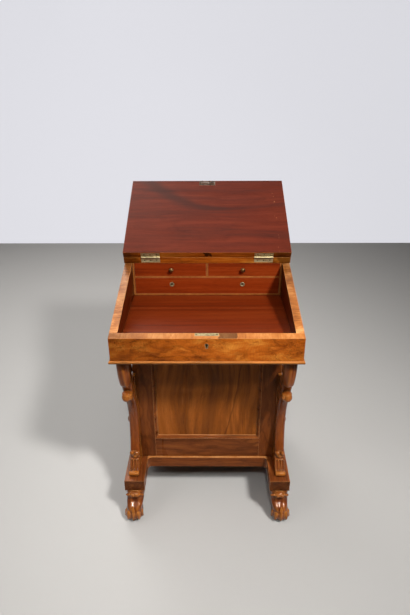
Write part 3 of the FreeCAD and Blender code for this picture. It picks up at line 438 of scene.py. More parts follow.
def lid_wood(name, looks):
    """Walnut outside; inside, plain mahogany with a heart streak and a few pale dents."""
    material, tree, shader = new_material(name)
    at = own_millimetres(tree, "x")
    colour, cloud, pores = figure_colour(tree, at, wood_tones(looks, "walnut"), **LONG_FIGURE)
    inner = figure_colour(tree, at, wood_tones(looks, "lid"), **LID_GRAIN)[0]
    place = add(tree, "TexCoord", out="Object")
    pins = sum(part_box("hinge_pins"), Vector()) / 2
    out = add(tree, "VectorMath", (place, tuple(pins)), "SUBTRACT")
    out = add(tree, "VectorMath", (out, tuple(LID_OUT)), "DOT_PRODUCT", out="Value")
    side = add(tree, "SeparateXYZ", (place,))
    # The heart streak comes down from the far left corner, thins out and ends right of the middle
    wide = add(tree, "MapRange", (side, -0.24, 0.1, 0.07, 0.006))
    heart = heart_streak(tree, at, out, side, rest=0.21, bow=2.4, turn=0.04, wide=wide)
    fade = add(tree, "MapRange", (side, 0.06, 0.15, 0.75, 0.0))
    heart = add(tree, "Math", (heart, fade), "MULTIPLY")
    inner = add(tree, "Mix", {0: heart, 6: inner, 7: looks.lid_dark}, **COLOUR_MIX)
    # The dents lie in a column near the right edge
    column, half, strength = 0.232, 0.004, 0.5
    dent = add(tree, "TexNoise", {"Vector": at, "Scale": 1 / DENT, "Detail": 1.0})
    dent = add(tree, "Math", (dent, 0.71), "GREATER_THAN")
    near = add(tree, "Math", (side, column, half), "COMPARE")
    dent = add(tree, "Math", (dent, near), "MULTIPLY")
    dent = add(tree, "Math", (dent, strength), "MULTIPLY")
    inner = add(tree, "Mix", {0: dent, 6: inner, 7: looks.band_light}, **COLOUR_MIX)
    colour = add(tree, "Mix", {0: facing(tree, LID_FACE), 6: colour, 7: inner}, **COLOUR_MIX)
    edge = hinge_edge_colour(tree, at, looks, side, bruise=0.065)
    colour = add(tree, "Mix", {0: facing(tree, -LID_OUT), 6: colour, 7: edge}, **COLOUR_MIX)
    polish(tree, shader, looks, at, (colour, cloud, pores), gloss=0.45, coat=0.0, ior=1.22,
           worn=looks.arris)
    return material


def hinge_edge_colour(tree, at, looks, side, bruise):
    """Long-grained orange edge at the hinges, dark and cloudy at its ends and on a bruise in its middle.

    bruise is how far that reaches, in metres with the clouds' own reach added; below 0 there is none.
    """
    ends, cloudy, soft = 0.25, 0.12, 0.01
    colour = figure_colour(tree, at, wood_tones(looks, "burr"), **LONG_FIGURE)[0]
    far = add(tree, "Math", (side,), "ABSOLUTE")
    cloud = add(tree, "TexNoise", {"Vector": at, "Scale": 1 / STAIN, "Detail": 4.0})
    far = add(tree, "Math", (cloud, cloudy, far), "MULTIPLY_ADD")
    shade = add(tree, "MapRange", (far, ends, ends + 0.05, 1.0, 0.3))
    near = add(tree, "MapRange", (far, bruise, bruise + soft, 0.12, 1.0))
    shade = add(tree, "Math", (shade, near), "MULTIPLY")
    return add(tree, "VectorMath", {0: colour, "Scale": shade}, "SCALE")


def fixed_top_wood(name, looks):
    """Walnut veneer on top, with the same long-grained edge under the hinges."""
    material, tree, shader = new_material(name)
    at = own_millimetres(tree, "x")
    colour, cloud, pores = figure_colour(tree, at, wood_tones(looks, "walnut"), **LONG_FIGURE)
    side = add(tree, "SeparateXYZ", (add(tree, "TexCoord", out="Object"),))
    edge = hinge_edge_colour(tree, at, looks, side, bruise=-0.015)
    colour = add(tree, "Mix", {0: facing(tree, CLOSED_OUT), 6: colour, 7: edge}, **COLOUR_MIX)
    polish(tree, shader, looks, at, (colour, cloud, pores))
    return material


def metal(name, colour, gloss, spot, dull, shine):
    """Old metal with clouds of tarnish about spot mm wide; dull is what they leave of the colour."""
    material, tree, shader = new_material(name)
    place = add(tree, "TexCoord", out="Object")
    cloud = add(tree, "TexNoise", {"Vector": place, "Scale": 1 / (spot * MM), "Detail": 4.0})
    shade = add(tree, "ValToRGB", (cloud,), stops=((0.36, dimmed(colour, dull)), (0.52, colour)))
    rough = add(tree, "MapRange", (cloud, 0.0, 1.0, gloss + 0.2, gloss - 0.1))
    # Edges are drawn as if rounded by 0.8 mm, a little more than real ones, so that they catch the light
    rounded = add(tree, "Bevel", {"Radius": 0.8 * MM}, samples=4)
    fill(tree, shader, {"Base Color": shade, "Roughness": rough, "Normal": rounded, "Metallic": shine})
    return material


def tooled_leather(name, looks):
    """Waxed skiver: fine pebble grain, paler scuffs, and a double gilt line tooled near its edge."""
    material, tree, shader = new_material(name)
    low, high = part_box("lid_leather")
    place = add(tree, "TexCoord", out="Object")
    along = add(tree, "VectorMath", (place, tuple(LID_OUT)), "DOT_PRODUCT", out="Value")
    start, end = low.dot(LID_OUT), high.dot(LID_OUT)
    across = add(tree, "Math", (add(tree, "SeparateXYZ", (place,)),), "ABSOLUTE")
    from_side = add(tree, "Math", (high.x, across), "SUBTRACT")
    middle = add(tree, "Math", (along, (start + end) / 2), "SUBTRACT")
    middle = add(tree, "Math", (middle,), "ABSOLUTE")
    from_end = add(tree, "Math", ((end - start) / 2, middle), "SUBTRACT")
    inset = add(tree, "Math", (from_side, from_end), "MINIMUM")
    scuff = add(tree, "TexNoise", {"Vector": place, "Scale": 1 / (SCUFF * MM), "Detail": 5.0})
    worn = dimmed(looks.leather, 1.9)
    colour = add(tree, "ValToRGB", (scuff,), stops=((0.4, looks.leather), (0.75, worn)))
    for line_at in GILT_LINES:
        line = add(tree, "Math", (inset, line_at, GILT_HALF), "COMPARE")
        colour = add(tree, "Mix", {0: line, 6: colour, 7: looks.tooling}, **COLOUR_MIX)
    cells = add(tree, "TexVoronoi", {"Vector": place, "Scale": 1 / (PEBBLE * MM)})
    bump = add(tree, "Bump", {"Strength": 0.3, "Distance": 0.3 * MM, "Height": cells})
    fill(tree, shader, {"Base Color": colour, "Normal": bump, "Roughness": 0.48})
    return material


# Figures of the woods in mm: streak width and length, swirl and its size, and strengths of the rest
PLAIN_GRAIN = dict(streak=8.0, length=320.0, swirl=4.0, figure=160.0, veins=0.06, spread=0.26)
LID_GRAIN = dict(streak=11.0, length=240.0, swirl=18.0, figure=150.0, veins=0.1, spread=0.23)
LONG_FIGURE = dict(streak=8.0, length=110.0, swirl=12.0, figure=80.0, veins=0.2, spread=0.17)
CARVED_GRAIN = dict(streak=8.0, length=120.0, swirl=6.0, figure=110.0, veins=0.1, spread=0.26)
BURR_FIGURE = dict(streak=14.0, length=42.0, swirl=24.0, figure=60.0, veins=0.28, spread=0.17, ripple=0.14,
                   burr=0.6)
SIDE_FIGURE = dict(streak=12.0, length=80.0, swirl=22.0, figure=90.0, veins=0.22, spread=0.17, ripple=0.2,
                   burr=0.3)
CROTCH_FIGURE = dict(streak=12.0, length=230.0, swirl=42.0, figure=190.0, veins=0.14, spread=0.23,
                     ripple=0.06)
FRAME_FIGURE = dict(streak=12.0, length=110.0, swirl=26.0, figure=90.0, veins=0.3, spread=0.2)
PINE_GRAIN = dict(streak=9.0, length=300.0, swirl=6.0, figure=160.0, veins=0.3)


def finish(context, name):
    """The named finish, made on first use."""
    found = bpy.data.materials.get(name)
    if found:
        return found
    looks = context.scene.desk_finishes
    burr, walnut, panel, carved, mahogany = (
        wood_tones(looks, wood_name) for wood_name in ("burr", "walnut", "panel", "carved", "mahogany"))
    # Frames and the well floor are drawn darker than clean wood, and faces inside the box take painted
    # shade
    framed = [dimmed(tone, 0.8) for tone in walnut]
    darker_mahogany = [dimmed(tone, 0.54) for tone in mahogany]
    inside_shade = [dimmed(tone, 0.35) for tone in mahogany]
    waxed = dict(gloss=0.42, coat=0.0, ior=1.2, worn=looks.arris)
    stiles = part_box("pedestal_front_panel")[1].x
    drawer_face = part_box("pedestal_front_frame")[1].x
    unit_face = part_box("long_drawer")[0].y
    woods = {
        # Burr veneer under shellac: amber swirls, dark squiggles and a striped top edge, with painted shade
        # towards the left
        "Walnut_Burr_Veneer_Front": dict(
            tones=burr, run="x", look=BURR_FIGURE, inside=inside_shade, edges=[(SLOPE_UP, 0.27, 0.77)],
            painted_falloff=((1, 0, 0), -0.19, 0.03, 0.55), repair=(0.056, 0.025, 0.32)),
        # The same with calmer figure, and painted shade that deepens it towards the back
        "Walnut_Burr_Veneer_Sides": dict(
            tones=burr, run="y", look=SIDE_FIGURE, inside=inside_shade, edges=[(SLOPE_UP, 0.38, 0.61)],
            painted_falloff=((0, -1, 0), 0.08, 0.4, 0.55)),
        # Plain sliced veneer: long brown figure with a soft shine
        "Walnut_Veneer_Back": dict(tones=walnut, run="x", look=LONG_FIGURE, inside=inside_shade),
        # Sliced veneer with a ripple that runs across its grain
        "Walnut_Veneer_Sides": dict(tones=walnut, run="y", look=SIDE_FIGURE),
        # Veneer on stiles and rails: dark, and its grain turns where they meet
        "Walnut_Veneer_Framed": dict(tones=framed, run="z", look=FRAME_FIGURE, rails=stiles),
        # Veneer from a fork of the trunk: an upright flame with dark heart streaks
        "Walnut_Crotch_Panel": dict(
            tones=panel, run="z", look=CROTCH_FIGURE,
            streaks=[(0.11, -0.342, 0.62, 0.004, 0.6), (0.03, -0.35, 0.56, 0.03, 0.45)]),
        # Veneered fronts on planed pine: glossy and brown outside, pale inside
        "Walnut_Drawers_Pine_Lined": dict(
            tones=walnut, run="y", look=SIDE_FIGURE, lining=((-1, 0, 0), DRAWER_FRONT - drawer_face)),
        # Carved solid walnut, waxed: proud forms paler, partly rubbing and partly painted highlight,
        # painted shade in hollows, and small sharp lights
        "Walnut_Carved_Polished": dict(
            tones=carved, run="z", look=CARVED_GRAIN, gloss=0.24, coat=0.3, ior=1.36, wax_and_shade=0.2, reach=0.01,
            carved=0.4),
        # Planed moulding: fine long grain with lightly rubbed edges
        "Walnut_Panel_Moulding": dict(tones=walnut, run="x", look=LONG_FIGURE, wear=0.65),
        # Rounded nosing: a pale tone, partly rubbing and partly painted highlight, with painted shade on
        # faces that look down
        "Walnut_Nosing_Rubbed": dict(
            tones=shades(looks.nosing, 0.6, 1.35), run="x", look=LONG_FIGURE, under=0.15),
        # Moulded rail: brown long grain under a pale striped top edge
        "Walnut_Moulded_Plinth": dict(
            tones=walnut, run="x", look=LONG_FIGURE, edges=[((0, 0, 1), 0.1, 0.7)]),
        # Moulded sledges: brown long grain, and darker end grain, partly its own darkness and partly
        # painted shade
        "Walnut_Moulded_Sledges": dict(tones=walnut, run="y", look=LONG_FIGURE, ends=0.5),
        # Planed mahogany, waxed: straight red-brown grain with a low sheen and pale front edges
        "Mahogany_Planed_Polished": dict(
            tones=mahogany, run="x", look=PLAIN_GRAIN, edges=[((0, -1, 0), 0.25, 0.95)], **waxed),
        # The same wood, drawn darker
        "Mahogany_Planed_Handled": dict(tones=darker_mahogany, run="x", look=PLAIN_GRAIN, **waxed),
        # Mahogany fronts on planed pine: red-brown outside, pale inside
        "Mahogany_Drawers_Pine_Lined": dict(
            tones=mahogany, run="x", look=PLAIN_GRAIN, lining=((0, 1, 0), unit_face + SMALL_FRONT),
            **waxed),
        # Bare planed pine: pale, striped and matt, with painted shade on faces that look down
        "Pine_Planed_Bare": dict(
            tones=shades(looks.lining, 0.6, 1.15), run="y", look=PINE_GRAIN, gloss=0.6, coat=0.0, wear=0.2,
            under=0.25),
    }
    if name in woods:
        return wood(name, looks, **woods[name])
    special = {"Walnut_Lid_Mahogany_Faced": lid_wood, "Walnut_Fixed_Top": fixed_top_wood,
               "Leather_Skiver_Tooled": tooled_leather}
    if name in special:
        return special[name](name, looks)
    # Colour, roughness, size of the spots in mm, what tarnish leaves of the colour, and metallic
    metals = {
        # Stamped brass: straw yellow with hazy spots
        "Brass_Stamped_Tarnished": (looks.brass, 0.4, 4, 0.66, 0.6),
        # Rolled brass plate: dull and grey-yellow, clouded all over
        "Brass_Plate_Clouded": (looks.clouded, 0.45, 4, 0.5, 0.6),
        # Rolled brass sheet under old polish: brown, with a faint shine
        "Brass_Sheet_Browned": (looks.browned, 0.42, 5, 0.5, 0.7),
        # Turned bronze: brown, with smoother and brighter patches
        "Bronze_Turned_Worn": (looks.bronze, 0.3, 7, 0.3, 0.85),
        # Turned brass screws: dark heads that gleam on their rims
        "Brass_Screws_Darkened": (looks.screw, 0.4, 5, 0.3, 0.85),
        # Filed iron: nearly black and satin
        "Iron_Bolt_Blackened": (looks.iron, 0.5, 4, 0.7, 0.8),
        # Cast brass: dark brown-grey with dull patches
        "Brass_Cast_Darkened": (looks.caster, 0.42, 8, 0.3, 0.85),
    }
    return metal(name, *metals[name])


def paint(context, name, *nodes):
    """Give CAD nodes a finish in place of their plain one."""
    material = finish(context, name)
    for node in nodes:
        slots = NODES[node].data.materials
        slots.clear()
        slots.append(material)


def placed(x, y, z):
    """Drawing millimetres to the frame's metres."""
    return Vector((x * MM, y * MM + FRONT_FACE, z * MM))


def tube(shape, rings):
    """Join rings of points in metres by quads and give their corners."""
    loops = [[shape.verts.new(point) for point in ring] for ring in rings]
    count = len(loops[0])
    for low, high in zip(loops, loops[1:]):
        for i in range(count):
            j = (i + 1) % count
            shape.faces.new((low[i], low[j], high[j], high[i]))
    return loops


def shell(shape, rings):
    """Join rings of points in metres into a closed shell with capped ends."""
    loops = tube(shape, rings)
    shape.faces.new(loops[0][::-1])
    shape.faces.new(loops[-1])


def skin(shape, rings):
    """The same for rings of drawing millimetres."""
    shell(shape, [[placed(*point) for point in ring] for ring in rings])


def circle(count):
    """Angles of a full turn in equal steps."""
    return [2 * math.pi * i / count for i in range(count)]


def ball(shape, centre, radii, turn=0.0):
    """An oval bead, turned about Y."""
    count, steps = 20, 12
    place = Matrix.Translation(placed(*centre)) @ Matrix.Rotation(turn, 4, "Y") @ Matrix.Diagonal(
        Vector(radii) * MM).to_4x4()
    tilts = [math.pi * k / steps for k in range(1, steps)]
    loops = tube(shape, [[place @ Vector((math.sin(tilt) * math.cos(a), math.sin(tilt) * math.sin(a),
                                          math.cos(tilt))) for a in circle(count)] for tilt in tilts])
    for height, ring in ((1, loops[0]), (-1, loops[-1])):
        pole = shape.verts.new(place @ Vector((0, 0, height)))
        for i in range(count):
            shape.faces.new((pole, ring[i - 1], ring[i]))


def oval(x, half, front, back, z, power, count, relief):
    """A level slice round a middle at x: a soft-cornered oval, its front pushed out by a relief."""
    ring = []
    for angle in circle(count):
        side, deep = (math.copysign(abs(v) ** (2 / power), v) for v in (math.cos(angle), math.sin(angle)))
        push = relief(side, z) if deep < 0 else 0.0
        ring.append((x + half * side, (front + back + deep * (back - front)) / 2 - push, z))
    return ring


def swell(x, half):
    """A smooth hump of height 1 round 0 that has sunk to about a third at half."""
    return math.exp(-(x / half) ** 2)


def horn(shape, path, radii):
    """A tapering round limb along a path of points; radii are (across, up) pairs."""
    across = Vector((1, 0, 0))
    rings = []
    for i, (point, (wide, high)) in enumerate(zip(path, radii)):
        ahead = (Vector(path[min(i + 1, len(path) - 1)]) - Vector(path[max(i - 1, 0)])).normalized()
        side = (across - ahead * ahead.dot(across)).normalized()
        up = ahead.cross(side)
        rings.append([Vector(point) + side * wide * math.cos(a) + up * high * math.sin(a)
                      for a in circle(14)])
    skin(shape, rings)


def through(rows, t):
    """The value at t on a smooth line through (t, value) rows in rising order."""
    i = min(max(bisect.bisect_right([row[0] for row in rows], t) - 1, 0), len(rows) - 2)

    def slope(k):
        low, high = rows[max(k - 1, 0)], rows[min(k + 1, len(rows) - 1)]
        return (high[1] - low[1]) / (high[0] - low[0])

    (t0, a), (t1, b) = rows[i], rows[i + 1]
    span = t1 - t0
    u = (t - t0) / span
    return (a * (2 * u ** 3 - 3 * u ** 2 + 1) + b * (3 * u ** 2 - 2 * u ** 3)
            + slope(i) * span * (u ** 3 - 2 * u ** 2 + u) + slope(i + 1) * span * (u ** 3 - u ** 2))


def levels(low, high, step):
    """Heights from low to high in equal steps of about step."""
    count = max(2, round((high - low) / step))
    return [low + (high - low) * i / count for i in range(count + 1)]


def piece(context, name, shape, body, material, replaced=()):
    """Turn a shape into a smooth-shaded piece that rides on a body and stands for CAD nodes."""
    bmesh.ops.recalc_face_normals(shape, faces=shape.faces)
    mesh = bpy.data.meshes.new(name)
    shape.to_mesh(mesh)
    shape.free()
    for face in mesh.polygons:
        face.use_smooth = True
    mesh.set_sharp_from_angle(angle=CREASE)
    mesh.materials.append(finish(context, material))
    made = bpy.data.objects.new(name, mesh)
    context.scene.collection.objects.link(made)
    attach(made, body)
    if replaced:
        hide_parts(*replaced)


def carved_pair(context, title, node, beside, carve):
    """A left and a right piece that mirror each other, each centred across on a CAD node of its side."""
    for name, way in (("left", -1), ("right", 1)):
        centre = abs(sum(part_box(name + beside), Vector()).x) / 2 / MM
        shape = bmesh.new()
        carve(shape, context.scene.desk_carving, centre, way)
        piece(context, title + name, shape, "desk", "Walnut_Carved_Polished", [node.format(name)])


class DAVENPORT_OT_stage(bpy.types.Operator):
    """Make the floor, wall, lights and camera"""

    bl_idname = "davenport.stage"
    bl_label = "Stage"

    # In metres: how far the floor runs to the sides and front, where the wall stands and how high it is
    REACH, WALL_AT, WALL_HIGH = 6.0, 2.52, 4.5
    # Glow of the wall where it is seen, and of the sky as light and where it is seen
    WALL_GLOW, SKY_LIGHT, SKY_SEEN = 0.84, 0.01, 0.36
    # Name, place, target and size in metres, power in watts and spread in degrees
    LAMPS = (("Softbox_Main", (1.35, -1.85, 3.0), (-0.15, 0.05, 0.2), 0.4, 21.5, 70),
             ("Softbox_Front", (0.0, -2.2, 2.7), (0, -0.4, 0.0), 0.2, 2.2, 50),
             ("Softbox_Top", (-1.1, 0.5, 3.6), (-1.1, 0.5, 0.0), 3.4, 44, 140),
             ("Softbox_Left", (-1.7, -1.2, 2.2), (0, 0, 0.5), 1.2, 6, 140),
             ("Softbox_Back", (-1.0, 2.1, 2.4), (0, 0, 0.6), 1.2, 24, 140))
    # Focal length and picture height in pixels, and film height in mm
    FOCAL, PICTURE, FILM = 510.0, 615.0, 36.0
    # The eye's place in mm, and how far it looks down, aside and askew in radians
    EYE = (7.78, -1201.37, 1371.31)
    PITCH, YAW, ROLL = 0.45169, -0.00976, -0.00451

    def seen(self, tree):
        """1 for rays that show the backdrop, straight or in metal, and 0 for rays that light the desk."""
        ray = add(tree, "LightPath", out=None).outputs
        straight = add(tree, "Math", (ray["Is Camera Ray"], ray["Is Glossy Ray"]), "MAXIMUM")
        return add(tree, "Math", (straight, ray["Is Transmission Ray"]), "MAXIMUM")

    def execute(self, context):
        scene = context.scene
        scene.view_settings.view_transform = "Standard"
        self.make_room(scene)
        self.make_lights(scene)
        self.make_camera(scene)
        return {"FINISHED"}

    def make_room(self, scene):
        looks = scene.desk_finishes
        wide, back, high = self.REACH, self.WALL_AT, self.WALL_HIGH
        floor = ((-wide, -wide, 0), (wide, -wide, 0), (wide, back, 0), (-wide, back, 0))
        wall = ((-wide, back, 0), (wide, back, 0), (wide, back, high), (-wide, back, high))
        for name, colour, corners in (("Stage_Floor", looks.floor, floor),
                                      ("Stage_Wall", looks.wall_shade, wall)):
            mesh = bpy.data.meshes.new(name)
            mesh.from_pydata(corners, [], [(0, 1, 2, 3)])
            # Rolled matt paint: pale and even, with no shine
            material, tree, shader = new_material(name + "_Paint")
            fill(tree, shader, {"Base Color": colour, "Roughness": 0.7})
            if corners is wall:
                glow = add(tree, "Math", (self.seen(tree), self.WALL_GLOW), "MULTIPLY")
                fill(tree, shader, {"Emission Color": looks.wall, "Emission Strength": glow})
            mesh.materials.append(material)
            plane = bpy.data.objects.new(name, mesh)
            scene.collection.objects.link(plane)

    def make_lights(self, scene):
        world = bpy.data.worlds.new("Studio")
        scene.world = world
        world.use_nodes = True
        tree = world.node_tree
        glow = add(tree, "MapRange", (self.seen(tree), 0.0, 1.0, self.SKY_LIGHT, self.SKY_SEEN))
        fill(tree, tree.nodes["Background"], {"Color": scene.desk_finishes.sky, "Strength": glow})
        for name, place, target, size, power, spread in self.LAMPS:
            lamp = bpy.data.lights.new(name, "AREA")
            lamp.spread = math.radians(spread)
            lamp.size = size
            lamp.energy = power
            source = bpy.data.objects.new(name, lamp)
            scene.collection.objects.link(source)
            source.location = place
            source.rotation_euler = (Vector(target) - Vector(place)).to_track_quat("-Z", "Y").to_euler()

    def make_camera(self, scene):
        camera = bpy.data.cameras.new("Camera")
        camera.sensor_fit = "VERTICAL"
        camera.sensor_height = self.FILM
        camera.lens = self.FOCAL * self.FILM / self.PICTURE
        eye = bpy.data.objects.new("Camera", camera)
        scene.collection.objects.link(eye)
        eye.location = placed(*self.EYE)
        level = math.cos(self.PITCH)
        ahead = Vector((math.sin(self.YAW) * level, math.cos(self.YAW) * level, -math.sin(self.PITCH)))
        right = Vector((math.cos(self.YAW), -math.sin(self.YAW), 0))
        up = right.cross(ahead)
        turn = math.cos(self.ROLL), math.sin(self.ROLL)
        right, up = right * turn[0] + up * turn[1], up * turn[0] - right * turn[1]
        eye.rotation_euler = Matrix((right, up, -ahead)).transposed().to_euler()
        scene.camera = eye


class DAVENPORT_OT_writing_box(bpy.types.Operator):
    """Finish the writing box, its lid and the gallery"""

    bl_idname = "davenport.writing_box"
    bl_label = "Writing box and lid"

    def execute(self, context):
        paint(context, "Walnut_Burr_Veneer_Front", "front_rail")
        paint(context, "Walnut_Burr_Veneer_Sides", "left_side", "right_side")
        paint(context, "Walnut_Veneer_Back", "box_back", "gallery_back")
        paint(context, "Walnut_Veneer_Sides", "gallery_ends")
        paint(context, "Walnut_Nosing_Rubbed", "box_base")
        paint(context, "Walnut_Fixed_Top", "fixed_top")
        paint(context, "Walnut_Lid_Mahogany_Faced", "lid_board")
        paint(context, "Leather_Skiver_Tooled", "lid_leather")
        return {"FINISHED"}


class DAVENPORT_OT_well(bpy.types.Operator):
    """Finish the well floor and the stationery drawers"""

    bl_idname = "davenport.well"
    bl_label = "Well and stationery drawers"

    def execute(self, context):
        paint(context, "Mahogany_Planed_Handled", "well_floor_front", "well_floor_back")
        paint(context, "Mahogany_Planed_Polished", "unit_carcase")
        paint(context, "Mahogany_Drawers_Pine_Lined", "left_small_drawer", "right_small_drawer",
              "long_drawer")
        paint(context, "Pine_Planed_Bare", "well_bearers")
        return {"FINISHED"}


class DAVENPORT_OT_pedestal(bpy.types.Operator):
    """Finish the panelled pedestal and its side drawers"""

    bl_idname = "davenport.pedestal"
    bl_label = "Pedestal"

    def execute(self, context):
        paint(context, "Walnut_Veneer_Framed", "pedestal_front_frame", "pedestal_back_frame")
        paint(context, "Walnut_Crotch_Panel", "pedestal_front_panel", "pedestal_back_panel")
        paint(context, "Walnut_Panel_Moulding", "panel_mouldings")
        paint(context, "Walnut_Carved_Polished", "dummy_drawer_knobs")
        paint(context, "Walnut_Veneer_Sides", "pedestal_left_side", "drawer_rails", "dummy_drawer_fronts")
        paint(context, "Walnut_Drawers_Pine_Lined", *["side_drawer_%d" % i for i in (1, 2, 3, 4)])
        paint(context, "Pine_Planed_Bare", "drawer_runners", "pedestal_bottom")
        return {"FINISHED"}


class DAVENPORT_OT_supports(bpy.types.Operator):
    """Carve the two console supports"""

    bl_idname = "davenport.supports"
    bl_label = "Console supports"

    # Heights with distances from the box front or half widths, in mm
    ARM_FRONT = ((150, 57), (160, 66), (172, 76), (186, 88), (204, 100), (222, 109), (250, 118), (290, 124),
                 (330, 124), (365, 118), (400, 106), (440, 86), (470, 68), (490, 59), (505, 56), (530, 48),
                 (560, 40), (614, 34))
    LEAF_HALF = ((516, 12.5), (518, 14.2), (523, 15.4), (535, 16.8), (555, 18.6), (580, 19.8), (614, 20.5))
    LEAF_FRONT = ((516, 34), (518, 29), (523, 25.5), (535, 22), (555, 20.0), (580, 19.8), (614, 23))
    LEAF_BACK = ((516, 60), (535, 60), (555, 55), (580, 50), (614, 49))
    # The arm's back at the pedestal and under the box, where it leaves the pedestal, its top and half width
    WALL, HEAD, SPRING, TOP, HALF = 150.0, 46.0, 488.0, 614.0, 15.25
    # Height below which the arm widens and by what share, and depth and squareness of its front corners
    FLARE, WIDEN, CORNER, SQUARE = 200.0, 0.024, 9.0, 2.6
    # Low and high of parts of the arm, with the height of their slices
    STEPS = ((150, 160, 5), (160, 200, 1.25), (200, 484, 5), (484, 520, 2), (520, 614, 5))
    # Flutes: heights between their rounded ends, length of an end, places and half width as shares of HALF
    FLUTE_LOW, FLUTE_HIGH, FLUTE_END, FLUTES, FLUTE_HALF = 164, 182, 6, (-0.6, 0.0, 0.6), 0.25
    # Groove above the flutes: its height, half width and depth
    GROOVE = (192.5, 2.2, 4.0)
    # Leaf: where its relief has faded out and over what height, then the fold's place, its height and drift
    FADE_END, FADE, FOLD, FOLD_FROM, DRIFT = 608, 30, -0.35, 520, 0.006
    # Half width and height of the fold, and half width, depth and distance of the cleft beside it
    RIDGE, CLEFT = (0.26, 3.0), (0.2, 1.6, 0.55)
    # Under the neck a round knop, a smaller scroll on its inner side, and a collar: middle, radii and turn
    KNOP = (((2.0, 51.5, 466), (14.0, 14.5, 15.5), 0.0),
            ((-10.0, 55, 467), (7.0, 12.5, 13.0), 0.2),
            ((0.0, 57, 475.5), (15.5, 16.5, 6.5), 0.0))
    # Beads over the foot: place across in bead radii, depth and height in mm, and radii in bead radii
    BEADS = ((-1.05, 94.0, 213.0, (1, 1, 1)), (1.05, 94.0, 213.0, (1, 1, 1)),
             (0.0, 102.0, 205.0, (2.0, 1.5, 1.1)), (0.0, 97.0, 198.5, (1, 1, 0.9)))
    # Curl at the toe: depth of its middle and height of its foot, and half its outline in mm and curl radii
    CURL_DEPTH, CURL_FOOT = 59.5, 150.2
    CURL = ((16.2, 0.3), (16.2, 0.36), (15.2, 0.42), (15.2, 0.54), (16.0, 0.62), (15.8, 0.85), (14.4, 1.0))

    def arm_back(self, z):
        """The arm stands against the pedestal up to its spring, then sweeps forward in an arc."""
        if z <= self.SPRING:
            return self.WALL
        gap, drop = self.WALL - self.HEAD, self.TOP - self.SPRING
        radius = (gap ** 2 + drop ** 2) / (2 * gap)
        return self.HEAD + radius - math.sqrt(radius ** 2 - (self.TOP - z) ** 2)

    def arm_slice(self, z, relief):
        """A level slice with square back corners and rounded front ones."""
        count = 64
        half = self.HALF + max(self.FLARE - z, 0) * self.WIDEN
        front, back = through(self.ARM_FRONT, z), self.arm_back(z)
        ring = [(half, back, z)]
        for i in range(count + 1):
            side = math.cos(math.pi * i / count)
            drop = 1 - (1 - abs(side) ** self.SQUARE) ** (1 / self.SQUARE)
            ring.append((half * side, min(front + self.CORNER * drop - relief(side, z), back), z))
        return ring + [(-half, back, z)]

    def folds(self, side, z):
        """Relief of the leaf: a fold that drifts across it, with a cleft beside it."""
        fade = min(max((self.FADE_END - z) / self.FADE, 0), 1)
        past = side - self.FOLD - (z - self.FOLD_FROM) * self.DRIFT
        (half, high), (cleft, deep, beside) = self.RIDGE, self.CLEFT
        return fade * (high * swell(past, half) - deep * swell(past + beside, cleft))

    def carve(self, shape, carving, centre, way):
        flute, bead, curl = carving.flute / MM, carving.bead / MM, carving.curl / MM

        def moved(ring):
            return [(way * (centre + x), y, z) for x, y, z in ring]

        def fluting(side, z):
            over = max(z - self.FLUTE_HIGH, self.FLUTE_LOW - z, 0) / self.FLUTE_END
            near = min(abs(side - place) for place in self.FLUTES) / self.FLUTE_HALF
            height, half, deep = self.GROOVE
            return -flute * math.sqrt(max(0.0, 1 - over ** 2 - near ** 2)) - deep * swell(z - height, half)

        heights = [z for part in self.STEPS for z in levels(*part)[:-1]] + [self.TOP]
        skin(shape, [moved(self.arm_slice(z, fluting)) for z in heights])
        leaf = (self.LEAF_HALF, self.LEAF_FRONT, self.LEAF_BACK)
        low = self.LEAF_HALF[0][0]
        skin(shape, [moved(oval(0, *[through(rows, z) for rows in leaf], z, power=2.5, count=64,
                                relief=self.folds)) for z in levels(low, self.TOP, step=2.5)])
        for (x, y, z), radii, turn in self.KNOP:
            ball(shape, (way * (centre + x), y, z), radii, way * turn)
        for x, y, z, radii in self.BEADS:
            ball(shape, (way * centre + x * bead, y, z), [bead * r for r in radii])
        outline = self.CURL + tuple((-x, r) for x, r in reversed(self.CURL))
        skin(shape, [[(way * centre + x, self.CURL_DEPTH + curl * r * math.cos(a),
                       self.CURL_FOOT + curl + curl * r * math.sin(a)) for a in circle(28)]
                     for x, r in outline])

    def execute(self, context):
        carved_pair(context, "Carved_Support_", "{}_support", "_support", self.carve)
        return {"FINISHED"}


